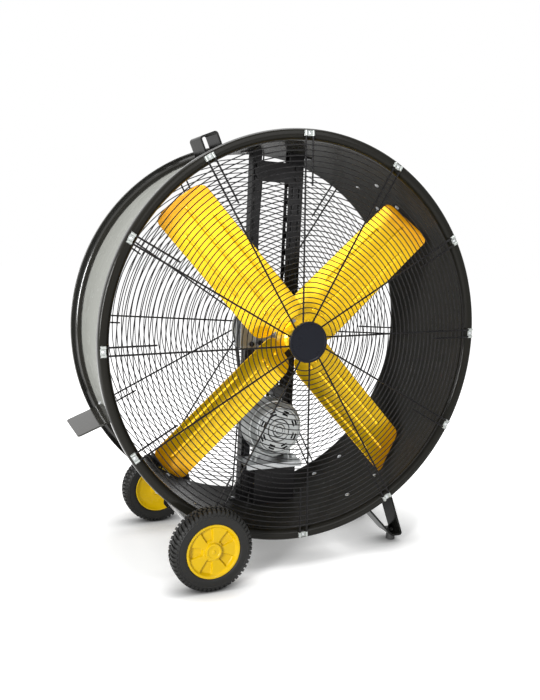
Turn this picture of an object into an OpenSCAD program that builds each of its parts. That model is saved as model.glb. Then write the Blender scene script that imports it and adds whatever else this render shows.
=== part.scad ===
// Portable drum fan: a belt-driven four-blade rotor in a steel drum on two wheels and two legs.
// Front of the fan faces -Y, +X is the right-hand side seen from the front, the floor is Z = 0.

/* [Drum] */
// Outer diameter of the drum skin
skin_d = 970; // [964:1:976]
// How far the two rims stand out of the skin
rim_out = 26; // [22:1:30]
// Depth of the drum from front rim face to rear rim face
drum_depth = 380; // [376:2:390]
// Height of the fan axis above the floor
axis_h = 584; // [580:1:590]
// Sheet thickness of the drum skin
skin_t = 2; // [1.5:0.5:2.5]
// Sheet thickness of the rims
rim_t = 3; // [2.5:0.5:3.5]
// How far the rim's lip turns back
rim_lip = 18; // [14:1:22]

/* [Guards] */
// Distance from one ring to the next
ring_pitch = 12.5; // [12:0.1:12.8]
// Radius of the smallest ring
ring_first_r = 72; // [68:1:74]
// Least gap between the largest ring and the clips
ring_clear = 15.4; // [14:0.2:18]
// Diameter of the ring wire
ring_wire = 3; // [2.5:0.5:3.5]
// Diameter of the radial wire
spoke_wire = 4.5; // [4:0.5:5]
// Number of clips that hold each guard
clip_count = 12; // [8:1:12]
// Angle of the first clip, seen from the front
clip_start = 2.2; // [0:0.1:6]
// Side distance between the two wires under one clip
spoke_gap = 19; // [17:0.5:21]
// Diameter of the blank round badge on the front guard
badge_d = 102; // [96:1:106]

/* [Rotor] */
// Gap between the blade tips and the inside of the drum
tip_gap = 26; // [23:1:33]
// Number of blades
blade_count = 4; // [4:1:4]
// Chord of a blade, measured along the sheet
blade_chord = 146; // [138:1:150]
// Pitch of a blade from the plane of rotation
blade_pitch = 26; // [22:0.5:28]
// Radius of the blade's hollow, measured across the chord
blade_camber_r = 250; // [220:5:320]
// Thickness of the blade sheet
blade_t = 2; // [1.6:0.2:2.4]
// Angle of the first blade, seen from the front
blade_start = 43.6; // [40:0.2:46]
// Distance of the rotor plane in front of the drum's middle
rotor_z = 109; // [104:1:112]
// Diameter of the fan shaft
shaft_d = 25; // [22:1:28]

/* [Drive] */
// Outer diameter of the driven pulley
fan_pulley_d = 150; // [146:1:154]
// Outer diameter of the motor pulley
motor_pulley_d = 68; // [64:1:72]
// Width of both pulleys
pulley_w = 26; // [24:1:28]
// Distance of the belt plane behind the drum's middle
belt_back = 115; // [112:1:118]
// Distance from the fan shaft down to the motor shaft
drive_drop = 257; // [254:1:260]
// Outer diameter of the motor
motor_d = 154; // [150:1:156]
// Diameter of the motor shaft
motor_shaft_d = 16; // [14:1:18]

/* [Frame] */
// Distance of the uprights' front faces behind the drum's middle
upright_back = 40; // [38:1:42]
// Depth of an upright from front to back
upright_depth = 30; // [28:1:32]
// Width of the left upright
left_upright_w = 26; // [24:1:28]
// Width of the right upright
right_upright_w = 42; // [38:1:44]
// Clear gap between the two uprights
upright_gap = 82; // [80:1:86]
// Sheet thickness of the uprights
upright_t = 3; // [2.5:0.5:3.5]

/* [Running gear] */
// Diameter of the wheels
wheel_d = 200; // [198:1:202]
// Width of a tyre
tyre_w = 50; // [46:1:52]
// Diameter of the wheel's plastic centre
wheel_hub_d = 132; // [128:1:136]
// Distance from the fan axis left to the axle
axle_left = 249; // [246:1:252]
// Diameter of the axle
axle_d = 16; // [14:1:18]
// Gap between a rim face and the wheel beside it
wheel_gap = 26; // [22:1:30]
// Distance from the fan axis right to a foot
foot_right = 348; // [340:1:350]
// Distance of each leg from the drum's middle, front and back
leg_y = 100; // [96:1:104]
// Width of a leg strap
leg_w = 64; // [58:1:70]
// Thickness of the leg strap
leg_t = 5; // [4:0.5:6]

/* [Handles] */
// Angle of the top handle, seen from the front
handle_angle = 114; // [110:0.5:118]
// Outer span of the top handle
handle_span = 50; // [48:1:56]
// Height of the top handle above the skin
handle_rise = 58; // [54:1:64]
// Width of the top handle's strap
handle_w = 84; // [76:1:90]
// Angle of the foot step, seen from the front
step_angle = 203.6; // [200:0.2:207]
// How far the foot step stands out of the skin
step_reach = 98; // [92:1:104]
// Width of the foot step
step_w = 170; // [160:1:176]
// Angle of the switch box, seen from the front
box_angle = 52; // [50:0.5:54]

/* [Hidden] */

// Roundness of large and of small round shapes, and of the section of the ring wire
$fn = 96;
small_fn = 32;
wire_sides = 12;
// Clearance of a turning fit, of parts laid face to face and of parts that pass each other
run_gap = 0.05;
lay_gap = 0.2;
pass_gap = 0.4;
// Overlap that makes a cut run past the face it leaves
cut = 1;

// Radii and half sizes that the parts share
skin_r = skin_d / 2;
bore_r = skin_r - skin_t;
rim_r = skin_r + rim_out;
tip_r = bore_r - tip_gap;
half = drum_depth / 2;
step_tip_x = (skin_r + step_reach) * cos(step_angle);
drum_x = -(step_tip_x + rim_r) / 2;
shaft_r = shaft_d / 2;

// Places of the guard's layers in front of the drum's middle
spoke_z = half + lay_gap + spoke_wire / 2;
ring_z = spoke_z + spoke_wire / 2 + lay_gap + ring_wire / 2;
clip_in = 12;
clip_r = rim_r - clip_in;
clip_len = 19;
clip_w = spoke_gap + 10;
clip_t = 1.6;
clip_seat = half + clip_t + 2 * lay_gap;
clip_screw_r = 2.2;
ring_room = clip_r - (clip_len + ring_wire) / 2 - ring_clear - ring_first_r;
ring_count = floor(ring_room / ring_pitch) + 1;
badge_z = ring_z + ring_wire / 2 + lay_gap;
badge_t = 8;
hub_disc_r = 46;

// Screws through the skin, as [angle, distance in front of the middle, stack inside, stack outside]
upright_mid = -(upright_back + upright_depth / 2);
axle_angle = 180 + atan2(axis_h - wheel_d / 2, axle_left);
bracket_y = 118;
strap_stack = leg_t + lay_gap;
bracket_t = 4;
leg_screws = [for (a = [294.2, 305.5], z = [leg_y, -leg_y]) [a, z, 0, strap_stack]];
left_foot_x = 80;
right_foot_x = 95;
left_foot_a = asin(left_foot_x / bore_r);
right_foot_a = asin(right_foot_x / bore_r);
upright_screws = [
    for (a = [90 - right_foot_a, 90 + left_foot_a, 270 - left_foot_a, 270 + right_foot_a])
        [a, upright_mid, upright_t + lay_gap, 0]
];
handle_screws = [for (a = [handle_angle - 4.7, handle_angle + 4.7], z = [24, -24]) [a, z, 0, strap_stack]];
bracket_screws = [
    for (a = [axle_angle - 4, axle_angle + 4], z = [bracket_y + 4, -bracket_y - 4]) [a, z, 0, strap_stack]
];
drive_screws = [for (a = [268.2, 277]) [a, -22, bracket_t + lay_gap, 0]];
step_screws = [for (z = [50, -50]) [step_angle + 2.6, z, 0, strap_stack]];
seam_screws = [for (z = [101, -101]) [203.7, z, 0, 0]];
box_floor = 3;
box_screws = [for (a = [box_angle - 5.2, box_angle + 5.2], z = [50, -50]) [a, z, 0, box_floor + lay_gap]];
skin_screws = concat(
    leg_screws, upright_screws, handle_screws, bracket_screws,
    drive_screws, step_screws, seam_screws, box_screws
);
screw_r = 3;
screw_head_r = 6.5;
screw_head_h = 3.6;
nut_across = 10;
nut_h = 4;

// Levels of the drive, measured in front of the drum's middle
belt_z = -belt_back;
bearing_plate_t = 4;
front_plate_z = -upright_back;
rear_plate_z = -(upright_back + upright_depth);
front_seat_z = front_plate_z + bearing_plate_t + 2 * lay_gap;
rear_seat_z = rear_plate_z - bearing_plate_t - 2 * lay_gap;
motor_r = motor_d / 2;
motor_shaft_r = motor_shaft_d / 2;
motor_face_z = 60;
motor_shoulder_z = 24;
motor_back_z = -16;
motor_end_z = -36;
motor_wall = 4;

// Rows of slots in the uprights, measured from their inner edges
left_row = 19;
right_rows = [11, 31];

// Bearings: flange, boss and the ring inside, and the bolts of flange and plates
flange_w = 86;
flange_t = 10;
boss_h = 20;
boss_r = 28;
insert_r = 24;
insert_l = 18;
plate_w = 176;
plate_h = 98;
cross_t = 3;
cross_high = bore_r - 30;
cross_low = cross_high - 53;
wing_low = bore_r - 23;
wing_high = wing_low - 70;
bolt_r = 4;
bolt_across = 13;
bolt_head_h = 5;
flange_bolt = 31;
bearing_bolts = [for (x = [-1, 1], y = [-1, 1]) flange_bolt * [x, y]];
left_bolt_x = -(upright_gap / 2 + left_upright_w / 2 - 2);
right_bolt_x = upright_gap / 2 + right_upright_w / 2;
bolt_columns = [left_bolt_x, right_bolt_x];
frame_bolt_y = 36;
frame_bolts = [for (x = bolt_columns, y = [-frame_bolt_y, frame_bolt_y]) [x, y]];
cross_bolts = [for (x = bolt_columns, y = [cross_low + 14, cross_high - 14]) [x, y]];
bracket_bolts = [for (x = bolt_columns, y = [-wing_high - 18, 16 - wing_low]) [x, y]];

// Blade bolts, as [distance from the axis, distance from the blade's middle line], and the arm behind
blade_bolt_r = 3;
blade_bolt_places = [[60, 0], [96, -13], [96, 13]];
hub_arm_end = 116;
hub_arm_t = 5;

// Motor plate, the gap under it and the folded bracket that carries it
plate_top = -(drive_drop + motor_r + 16);
motor_plate_t = 5;
bracket_top = plate_top - motor_plate_t - 16;
bracket_left = -38;
bracket_right = 84;
bracket_front = -5;
cradle_x = 52;
cradle_from = -6;
cradle_l = 30;
jack_bolts = [for (x = [bracket_left + 12, bracket_right - 16], z = [-32.2, -16.8]) [x, z]];
cradle_bolts = [for (x = [-cradle_x - 12, cradle_x + 12], z = [7, cradle_l - 7]) [x, cradle_from + z]];

// Belt section and the radii on which it runs
belt_top_w = 13;
belt_h = 8;
groove_angle = 19;
belt_sink = 1;
fan_belt_r = fan_pulley_d / 2 - belt_sink;
motor_belt_r = motor_pulley_d / 2 - belt_sink;
wrap_angle = asin((fan_belt_r - motor_belt_r) / drive_drop);

// Places and sizes of the running gear
axle_level = wheel_d / 2;
wheel_mid = half + wheel_gap + tyre_w / 2;
foot_h = 20;
foot_r = 13;
leg_low = -(axis_h - foot_h - leg_t / 2);

// Sizes of the switch box, along the skin, across it and out of it
box_w = 118;
box_y = 140;
box_out = 52;
box_wall = 2.5;
box_lid = 3;
box_posts = [for (y = [-1, 1], z = [-1, 1]) [y * (box_w / 2 - 7), z * (box_y / 2 - 7)]];
box_port_x = rim_r + 8;
knob_at = 26;
gland_at = -26;

// Size of the capacitor and its place on the motor, and how deep the ring on the axle's end is sunk
cap_r = 18;
cap_angle = 81.5;
cap_at = motor_r + cap_r + 2;
clip_sink = 8;
clip_ring_w = 3;
axle_end = half + wheel_gap + tyre_w - clip_sink + clip_ring_w + 1;
hub_front = rotor_z + 25;

// Moves children from the front view, with +Z towards the viewer, to their place on the fan
module front_view(z = 0) {
    translate([drum_x, 0, axis_h]) rotate([90, 0, 0]) translate([0, 0, z]) children();
}

// A copy of children for the rear guard, turned half round the vertical
module rear_view(z = 0) {
    translate([drum_x, 0, axis_h]) rotate([0, 0, 180]) rotate([90, 0, 0]) translate([0, 0, z]) children();
}

// A round tube from z = 0 upwards
module tube(r_out, r_in, h) {
    difference() {
        cylinder(r = r_out, h = h);
        translate([0, 0, -cut]) cylinder(r = r_in, h = h + 2 * cut);
    }
}

// A ring of round wire
module wire_ring(r, d) {
    rotate_extrude() translate([r, 0]) circle(d = d, $fn = wire_sides);
}

// A plate that lies on a round skin of radius r, between two angles
module saddle(r, t, a_from, a_to, w) {
    rotate([0, 0, a_from]) rotate_extrude(angle = a_to - a_from) translate([r, -w / 2]) square([t, w]);
}

// The outline of such a plate, seen along the skin
module saddle_outline(r, t, a_from, a_to) {
    far = r + t + cut;
    intersection() {
        difference() {
            circle(r = r + t);
            circle(r = r);
        }
        polygon([
            [0, 0], 2 * polar(far, a_from), 2 * polar(far, (a_from + a_to) / 2), 2 * polar(far, a_to)
        ]);
    }
}

// A rectangle with round corners, as an extruded plate
module round_plate(w, h, r, t) {
    linear_extrude(height = t) round_outline(w, h, r);
}

module round_outline(w, h, r) {
    square([w, h - 2 * r], center = true);
    square([w - 2 * r, h], center = true);
    for (x = [-1, 1], y = [-1, 1]) {
        translate([x * (w / 2 - r), y * (h / 2 - r)]) circle(r = r, $fn = small_fn);
    }
}

// A point on a circle in the front view
function polar(r, a) = [r * cos(a), r * sin(a)];

// A six-sided nut or bolt head
module hex(across, h) {
    cylinder(d = across / cos(30), h = h, $fn = 6);
}

// A screw with a domed head, head upwards from z = 0, with a nut under a grip of the given length
module dome_screw(grip) {
    translate([0, 0, -grip - nut_h - 2]) cylinder(r = screw_r, h = grip + nut_h + 2, $fn = small_fn);
    translate([0, 0, -grip - nut_h]) hex(nut_across, nut_h);
    difference() {
        intersection() {
            cylinder(r = screw_head_r, h = screw_head_h, $fn = small_fn);
            translate([0, 0, screw_head_h - 9]) sphere(r = 9, $fn = small_fn);
        }
        translate([0, 0, 1.6]) hex(4, screw_head_h);
    }
}

// The holes that a list of skin screws needs
module screw_holes(screws) {
    reach = 14;
    for (s = screws) rotate([0, 0, s[0]]) translate([bore_r - reach, 0, s[1]]) rotate([0, 90, 0])
        cylinder(r = screw_r + lay_gap, h = 2 * reach, $fn = small_fn);
}

// Drum skin with a hole at every screw
module drum_shell() {
    skin_l = drum_depth - 2 * (rim_t + lay_gap);
    color("silver") front_view() difference() {
        translate([0, 0, -skin_l / 2]) tube(skin_r, bore_r, skin_l);
        screw_holes(skin_screws);
    }
}

// One rolled rim: a collar round the skin, a flat flange with the clip screws' holes and a lip turned back
module rim() {
    bend = 7;
    collar_l = 30;
    difference() {
        rotate_extrude() {
            translate([bore_r, 0]) square([rim_r - bend - bore_r, rim_t]);
            translate([rim_r - rim_t, bend]) square([rim_t, rim_lip - bend]);
            translate([rim_r - bend, bend]) intersection() {
                difference() {
                    circle(r = bend, $fn = small_fn);
                    circle(r = bend - rim_t, $fn = small_fn);
                }
                translate([0, -bend]) square([bend, bend]);
            }
            translate([skin_r + lay_gap, 0]) square([skin_t, collar_l]);
        }
        for (i = [0:clip_count - 1]) rotate([0, 0, -clip_start - i * 360 / clip_count])
            translate([clip_r, 0, -cut])
                cylinder(r = clip_screw_r + lay_gap, h = rim_t + 2 * cut, $fn = small_fn);
    }
}

module front_rim() { color([0.1, 0.1, 0.1]) front_view(half) rotate([180, 0, 0]) rim(); }
module rear_rim() { color([0.1, 0.1, 0.1]) rear_view(half) rotate([180, 0, 0]) rim(); }

// Domed screws whose heads show inside the drum
module drum_screws() {
    color("gainsboro") front_view() for (s = skin_screws)
        rotate([0, 0, s[0]]) translate([bore_r - lay_gap - s[2], 0, s[1]]) rotate([0, -90, 0])
            dome_screw(skin_t + 2 * lay_gap + s[2] + s[3]);
}

// Concentric rings of one guard
module guard_rings() {
    for (i = [0:ring_count - 1]) wire_ring(ring_first_r + i * ring_pitch, ring_wire);
}

// Radial wires of one guard: at each clip a long one to the middle and a short one beside it
module guard_spokes() {
    end_r = clip_r + clip_len / 2 - 2;
    long_from = sqrt(pow(hub_disc_r - 4, 2) - pow(spoke_gap / 2, 2));
    short_l = 130;
    for (i = [0:clip_count - 1]) rotate([0, 0, clip_start + i * 360 / clip_count]) rotate([0, 90, 0]) {
        translate([0, -spoke_gap / 2, long_from]) cylinder(d = spoke_wire, h = end_r - long_from, $fn = 16);
        translate([0, spoke_gap / 2, end_r - short_l]) cylinder(d = spoke_wire, h = short_l, $fn = 16);
    }
}

// One sheet clip, bent over the two wires and screwed to the rim between them
module guard_clip() {
    difference() {
        rotate([90, 0, 90]) linear_extrude(height = clip_len, center = true) difference() {
            union() {
                translate([-clip_w / 2, 0]) square([clip_w, clip_t]);
                wire_humps(spoke_wire / 2 + lay_gap + clip_t);
            }
            wire_humps(spoke_wire / 2 + lay_gap);
            translate([-clip_w, -clip_w]) square([2 * clip_w, clip_w]);
        }
        translate([0, 0, -cut]) cylinder(r = clip_screw_r + lay_gap, h = clip_t + 2 * cut, $fn = small_fn);
    }
}

// Outline of the two wires under a clip, grown to the given radius and run down to the rim
module wire_humps(r) {
    for (y = [-1, 1]) translate([y * spoke_gap / 2, 0]) {
        translate([0, spoke_wire / 2]) circle(r = r, $fn = small_fn);
        translate([-r, -r]) square([2 * r, r + spoke_wire / 2]);
    }
}

module guard_clips() {
    for (i = [0:clip_count - 1]) rotate([0, 0, clip_start + i * 360 / clip_count])
        translate([clip_r, 0, half + lay_gap]) guard_clip();
}

module front_guard_rings() { color([0.12, 0.12, 0.12]) front_view(ring_z) guard_rings(); }
module rear_guard_rings() { color([0.12, 0.12, 0.12]) rear_view(ring_z) guard_rings(); }
module front_guard_spokes() { color([0.12, 0.12, 0.12]) front_view(spoke_z) guard_spokes(); }
module rear_guard_spokes() { color([0.12, 0.12, 0.12]) rear_view(spoke_z) guard_spokes(); }
module front_guard_clips() { color("lightgray") front_view() guard_clips(); }
module rear_guard_clips() { color("lightgray") rear_view() guard_clips(); }

// Screws of one guard's clips, through the clip into the rim, with a cross in the head
module guard_screws() {
    head_h = 2.4;
    deep = clip_seat - half + 9;
    for (i = [0:clip_count - 1]) rotate([0, 0, clip_start + i * 360 / clip_count])
        translate([clip_r, 0, clip_seat]) difference() {
            union() {
                cylinder(r1 = 4.2, r2 = 3.2, h = head_h, $fn = small_fn);
                translate([0, 0, -deep]) cylinder(r = clip_screw_r, h = deep + cut, $fn = small_fn);
            }
            for (a = [0, 90]) rotate([0, 0, a]) translate([0, 0, head_h]) cube([5, 1, 2], center = true);
        }
}

module clip_screws() {
    color("gainsboro") {
        front_view() guard_screws();
        rear_view() guard_screws();
    }
}

// Blank round badge: a shallow dish with a raised edge, and the disc behind it that the wires meet
module front_badge() {
    r = badge_d / 2;
    edge = 5;
    color([0.08, 0.08, 0.1]) front_view() {
        translate([0, 0, badge_z]) rotate_extrude() polygon([
            [0, 0], [r - 1, 0], [r, 1], [r, badge_t - 1], [r - 1, badge_t], [r - edge, badge_t],
            [r - edge - 1.5, badge_t - 2], [0, badge_t - 2]
        ]);
        translate([0, 0, spoke_z + spoke_wire / 2 + lay_gap])
            cylinder(r = hub_disc_r, h = badge_z - spoke_z - spoke_wire / 2);
    }
}

// Plain disc that the rear guard's wires meet
module rear_guard_hub() {
    color([0.1, 0.1, 0.1]) rear_view(spoke_z + spoke_wire / 2 + lay_gap) rotate_extrude() polygon([
        [0, 0], [hub_disc_r, 0], [hub_disc_r, 2], [hub_disc_r - 10, 4], [0, 4]
    ]);
}

// A slotted channel from the drum's bottom to its top, open towards the shaft, with a foot at each end
module upright(inner_x, w, side, slot_rows, screw_x) {
    slot_pitch = 46;
    slot_l = 28;
    slot_w = 5;
    out_r = bore_r - lay_gap;
    difference() {
        intersection() {
            cylinder(r = out_r, h = drum_depth, center = true);
            union() {
                difference() {
                    translate([side * (inner_x + w / 2), 0, upright_mid])
                        cube([w, 2 * bore_r, upright_depth], center = true);
                    translate([side * (inner_x + w / 2 - upright_t), 0, upright_mid])
                        cube([w, 2 * bore_r + cut, upright_depth - 2 * upright_t], center = true);
                    for (row = slot_rows, i = [2:8], end = [-1, 1])
                        translate([side * (inner_x + row), end * (i * slot_pitch + 10), upright_mid])
                            cube([slot_w, slot_l, upright_depth + cut], center = true);
                }
                for (end = [-1, 1]) rotate([0, 0, end * 90]) {
                    near = asin((inner_x + w - 2) / out_r);
                    far = asin((screw_x + 12) / out_r);
                    turn = -side * end;
                    translate([0, 0, upright_mid]) saddle(
                        out_r - upright_t, upright_t + cut, min(turn * near, turn * far),
                        max(turn * near, turn * far), upright_depth - upright_t
                    );
                }
            }
        }
        screw_holes(upright_screws);
        translate([0, 0, upright_mid - upright_depth / 2]) bolt_holes(frame_bolts, upright_depth);
        translate([0, 0, front_plate_z - upright_t])
            bolt_holes(concat(cross_bolts, bracket_bolts), upright_t);
    }
}

module left_upright() {
    color([0.13, 0.13, 0.13]) front_view()
        upright(upright_gap / 2, left_upright_w, -1, [left_row], left_foot_x);
}

module right_upright() {
    color([0.13, 0.13, 0.13]) front_view()
        upright(upright_gap / 2, right_upright_w, 1, right_rows, right_foot_x);
}

// Flat plate that joins the uprights near the top
module top_cross_plate() {
    left = -upright_gap / 2 - 20;
    right = upright_gap / 2 + right_upright_w - 6;
    color([0.16, 0.16, 0.16]) front_view(front_plate_z + lay_gap) difference() {
        translate([left, cross_low, 0]) cube([right - left, cross_high - cross_low, cross_t]);
        bolt_holes(cross_bolts, cross_t);
    }
}

// Bolt holes through a plate that lies on z = 0
module bolt_holes(places, t) {
    for (p = places) translate([p[0], p[1], -cut])
        cylinder(r = bolt_r + lay_gap, h = t + 2 * cut, $fn = small_fn);
}

// Plate across the uprights that carries one bearing
module bearing_plate() {
    difference() {
        translate([(left_bolt_x + right_bolt_x) / 2, 0, 0])
            round_plate(plate_w, plate_h, 8, bearing_plate_t);
        translate([0, 0, -cut]) cylinder(r = shaft_r + 6, h = bearing_plate_t + 2 * cut);
        bolt_holes(concat(bearing_bolts, frame_bolts), bearing_plate_t);
    }
}

module front_bearing_plate() {
    color("lightgray") front_view(front_plate_z + lay_gap) bearing_plate();
}

module rear_bearing_plate() {
    color("lightgray") front_view(rear_plate_z - lay_gap - bearing_plate_t) bearing_plate();
}

// Flanged bearing housing, flange at z = 0 and boss upwards
module bearing_housing() {
    difference() {
        union() {
            round_plate(flange_w, flange_w, 16, flange_t);
            cylinder(r1 = boss_r + 5, r2 = boss_r + 1, h = flange_t + 5);
            cylinder(r = boss_r, h = boss_h);
        }
        translate([0, 0, -cut]) cylinder(r = insert_r + lay_gap, h = boss_h + 2 * cut);
        bolt_holes(bearing_bolts, flange_t);
    }
}

module bearing_housings() {
    color([0.2, 0.2, 0.2]) front_view() {
        translate([0, 0, front_seat_z]) bearing_housing();
        translate([0, 0, rear_seat_z]) rotate([0, 180, 0]) bearing_housing();
    }
}

// Steel rings in the housings, in which the shaft turns
module bearing_insert() {
    difference() {
        cylinder(r = insert_r, h = insert_l);
        translate([0, 0, -cut]) cylinder(r = shaft_r + run_gap, h = insert_l + 2 * cut);
        translate([0, 0, insert_l - 2]) tube(insert_r - 4, shaft_r + 4, 2 + cut);
    }
}

module bearing_inserts() {
    inset = (boss_h - insert_l) / 2;
    color("gainsboro") front_view() {
        translate([0, 0, front_seat_z + inset]) bearing_insert();
        translate([0, 0, rear_seat_z - inset]) rotate([0, 180, 0]) bearing_insert();
    }
}

// A bolt with a hex head on z = 0, its shank downwards and a nut under the grip
module hex_bolt(grip, r = bolt_r, across = bolt_across) {
    past = bolt_head_h + 3;
    hex(across, bolt_head_h);
    translate([0, 0, -grip - past]) cylinder(r = r, h = grip + past + cut, $fn = small_fn);
    translate([0, 0, -grip - bolt_head_h]) hex(across, bolt_head_h);
}

// Bolts of the bearings, of the plates through both walls of the uprights, and of the bracket
module plate_bolts() {
    flange_grip = flange_t + bearing_plate_t + 3 * lay_gap;
    wall_grip = upright_t + 3 * lay_gap;
    color("gainsboro") front_view() {
        for (p = bearing_bolts) {
            translate([p[0], p[1], front_seat_z + flange_t + lay_gap]) hex_bolt(flange_grip + lay_gap);
            translate([p[0], p[1], rear_seat_z - flange_t - lay_gap]) rotate([0, 180, 0])
                hex_bolt(flange_grip + lay_gap);
        }
        for (p = frame_bolts) translate([p[0], p[1], front_seat_z])
            hex_bolt(2 * bearing_plate_t + upright_depth + 6 * lay_gap);
        for (p = cross_bolts) translate([p[0], p[1], front_plate_z + cross_t + 2 * lay_gap])
            hex_bolt(cross_t + wall_grip);
        for (p = bracket_bolts) translate([p[0], p[1], front_plate_z + bracket_t + 2 * lay_gap])
            hex_bolt(bracket_t + wall_grip);
    }
}

// Solid fan shaft with chamfered ends and a keyway under the pulley
module fan_shaft() {
    from = belt_z - pulley_w / 2 - 22;
    to = rotor_z + 44;
    bevel = 2;
    color("silver") front_view() difference() {
        rotate_extrude() polygon([
            [0, from], [shaft_r - bevel, from], [shaft_r, from + bevel],
            [shaft_r, to - bevel], [shaft_r - bevel, to], [0, to]
        ]);
        translate([-4, shaft_r - 4, from - cut]) cube([8, 8, 12]);
    }
}

// Set collars that keep the shaft from sliding
module shaft_collars() {
    collar_r = 21;
    collar_w = 10;
    color("silver") front_view() for (z = [front_seat_z + boss_h + pass_gap, hub_front + lay_gap])
        translate([0, 0, z]) difference() {
            tube(collar_r, shaft_r + run_gap / 2, collar_w);
            translate([0, 0, collar_w / 2]) rotate([0, 90, 0])
                cylinder(r = 2.5, h = 2 * collar_r, $fn = small_fn);
        }
}

// Turns children to the place of one blade: x runs out along the blade, z faces forwards
module blade_place(i) {
    rotate([0, 0, blade_start + i * 360 / blade_count]) rotate([-blade_pitch, 0, 0]) children();
}

// Height of a hollow sheet face above the blade's middle line, for a face that lies the given depth behind
function sag(y, depth = 0) = blade_camber_r - sqrt(pow(blade_camber_r + depth, 2) - y * y);

// A strip of hollow sheet along x, with its front face the given depth behind the blade's front face
module hollow_sheet(x_from, x_to, chord, t, depth) {
    long = x_to - x_from;
    intersection() {
        translate([x_from, -chord / 2, -60]) cube([long, chord, 100]);
        translate([x_from, 0, blade_camber_r]) rotate([0, 90, 0])
            tube(blade_camber_r + depth + t, blade_camber_r + depth, long);
    }
}

module blade_holes() {
    for (p = blade_bolt_places) translate([p[0], p[1], -40])
        cylinder(r = blade_bolt_r + lay_gap, h = 80, $fn = small_fn);
}

// Cast hub: a boss on the shaft and twisted arms behind the blades
module fan_hub() {
    hub_r = 31;
    hub_back = rotor_z - 36;
    arm_w = 46;
    color([0.85, 0.7, 0.15]) front_view() difference() {
        union() {
            rotate_extrude() polygon([
                [shaft_r, hub_back], [hub_r - 2, hub_back], [hub_r, hub_back + 2],
                [hub_r, hub_front - 5], [hub_r - 6, hub_front], [shaft_r, hub_front]
            ]);
            translate([0, 0, rotor_z]) for (i = [0:blade_count - 1]) blade_place(i)
                hollow_sheet(20, hub_arm_end, arm_w, hub_arm_t, blade_t + lay_gap);
        }
        translate([0, 0, hub_back - cut])
            cylinder(r = shaft_r + run_gap / 2, h = hub_front - hub_back + 2 * cut);
        translate([0, 0, rotor_z]) for (i = [0:blade_count - 1]) blade_place(i) blade_holes();
    }
}

// Outline of a blade: round tip corners, and a root whose corners are round lobes
module blade_outline() {
    corner = 20;
    root = 40;
    lobe = 36;
    wide = blade_chord / 2;
    intersection() {
        union() {
            translate([root + lobe, -wide]) square([tip_r - root - lobe - corner, 2 * wide]);
            translate([root, lobe - wide]) square([tip_r - root, 2 * (wide - lobe)]);
            for (side = [-1, 1]) {
                translate([root + lobe, side * (wide - lobe)]) circle(r = lobe, $fn = 48);
                translate([tip_r - corner - 5, side * (wide - corner)]) circle(r = corner, $fn = 48);
            }
            translate([tip_r - corner - 5, corner - wide]) square([corner + 5, 2 * (wide - corner)]);
        }
        circle(r = tip_r);
    }
}

// One pressed sheet blade with its hollow, its two long beads and its bolt holes
module blade() {
    bead_r = 4;
    bead_from = 140;
    bead_to = tip_r - 46;
    difference() {
        union() {
            intersection() {
                translate([0, 0, -60]) linear_extrude(height = 100) blade_outline();
                hollow_sheet(0, tip_r + 4, blade_chord + 20, blade_t, 0);
            }
            for (y = [-32, 22]) translate([bead_from, y, sag(y) - bead_r / 2]) {
                rotate([0, 90, 0]) cylinder(r = bead_r, h = bead_to - bead_from, $fn = small_fn);
                sphere(r = bead_r, $fn = small_fn);
                translate([bead_to - bead_from, 0, 0]) sphere(r = bead_r, $fn = small_fn);
            }
        }
        blade_holes();
    }
}

module blade_1() { color("gold") front_view(rotor_z) blade_place(0) blade(); }
module blade_2() { color("gold") front_view(rotor_z) blade_place(1) blade(); }
module blade_3() { color("gold") front_view(rotor_z) blade_place(2) blade(); }
module blade_4() { color("gold") front_view(rotor_z) blade_place(3) blade(); }

// Round-headed bolts with nuts through every blade and hub arm
module blade_bolts() {
    head_r = 6;
    nut_top = -blade_t - hub_arm_t - 3 * lay_gap;
    color("gainsboro") front_view(rotor_z) for (i = [0:blade_count - 1], p = blade_bolt_places)
        blade_place(i) translate([p[0], p[1], 0]) {
            seat = sag(abs(p[1]) + head_r) + lay_gap;
            translate([0, 0, seat]) intersection() {
                cylinder(r = head_r, h = 4, $fn = small_fn);
                translate([0, 0, -5]) sphere(r = 9, $fn = small_fn);
            }
            translate([0, 0, nut_top - nut_h - 1])
                cylinder(r = blade_bolt_r, h = seat - nut_top + nut_h + 2, $fn = small_fn);
            translate([0, 0, nut_top - nut_h]) hex(nut_across, nut_h);
        }
}

// V-grooved pulley; a large one has a thin web with round windows
module v_pulley(r, bore, web) {
    half_w = pulley_w / 2;
    top = belt_top_w / 2;
    deep = belt_h + 3;
    low = top - deep * tan(groove_angle);
    rim_in = r - deep - 6;
    web_half = web ? 4 : half_w;
    hub_r = bore + 10;
    groove = [[r, -half_w], [r, -top], [r - deep, -low], [r - deep, low], [r, top], [r, half_w]];
    difference() {
        rotate_extrude() polygon(concat(
            [[bore, -half_w - 5], [hub_r, -half_w - 5], [hub_r, -web_half]],
            web ? [[rim_in, -web_half], [rim_in, -half_w]] : [],
            groove,
            web ? [[rim_in, half_w], [rim_in, web_half]] : [],
            [[hub_r, web_half], [hub_r, half_w + 2], [bore, half_w + 2]]
        ));
        if (web) for (i = [0:5]) rotate([0, 0, i * 60]) translate([(hub_r + rim_in) / 2, 0, -half_w])
            cylinder(r = (rim_in - hub_r) / 2 - 4, h = 2 * half_w, $fn = 48);
    }
}

module fan_pulley() {
    color([0.25, 0.25, 0.26]) front_view(belt_z) v_pulley(fan_pulley_d / 2, shaft_r + run_gap / 2, true);
}

module motor_pulley() {
    color([0.25, 0.25, 0.26]) front_view(belt_z) translate([0, -drive_drop, 0])
        v_pulley(motor_pulley_d / 2, motor_shaft_r + run_gap / 2, false);
}

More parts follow.
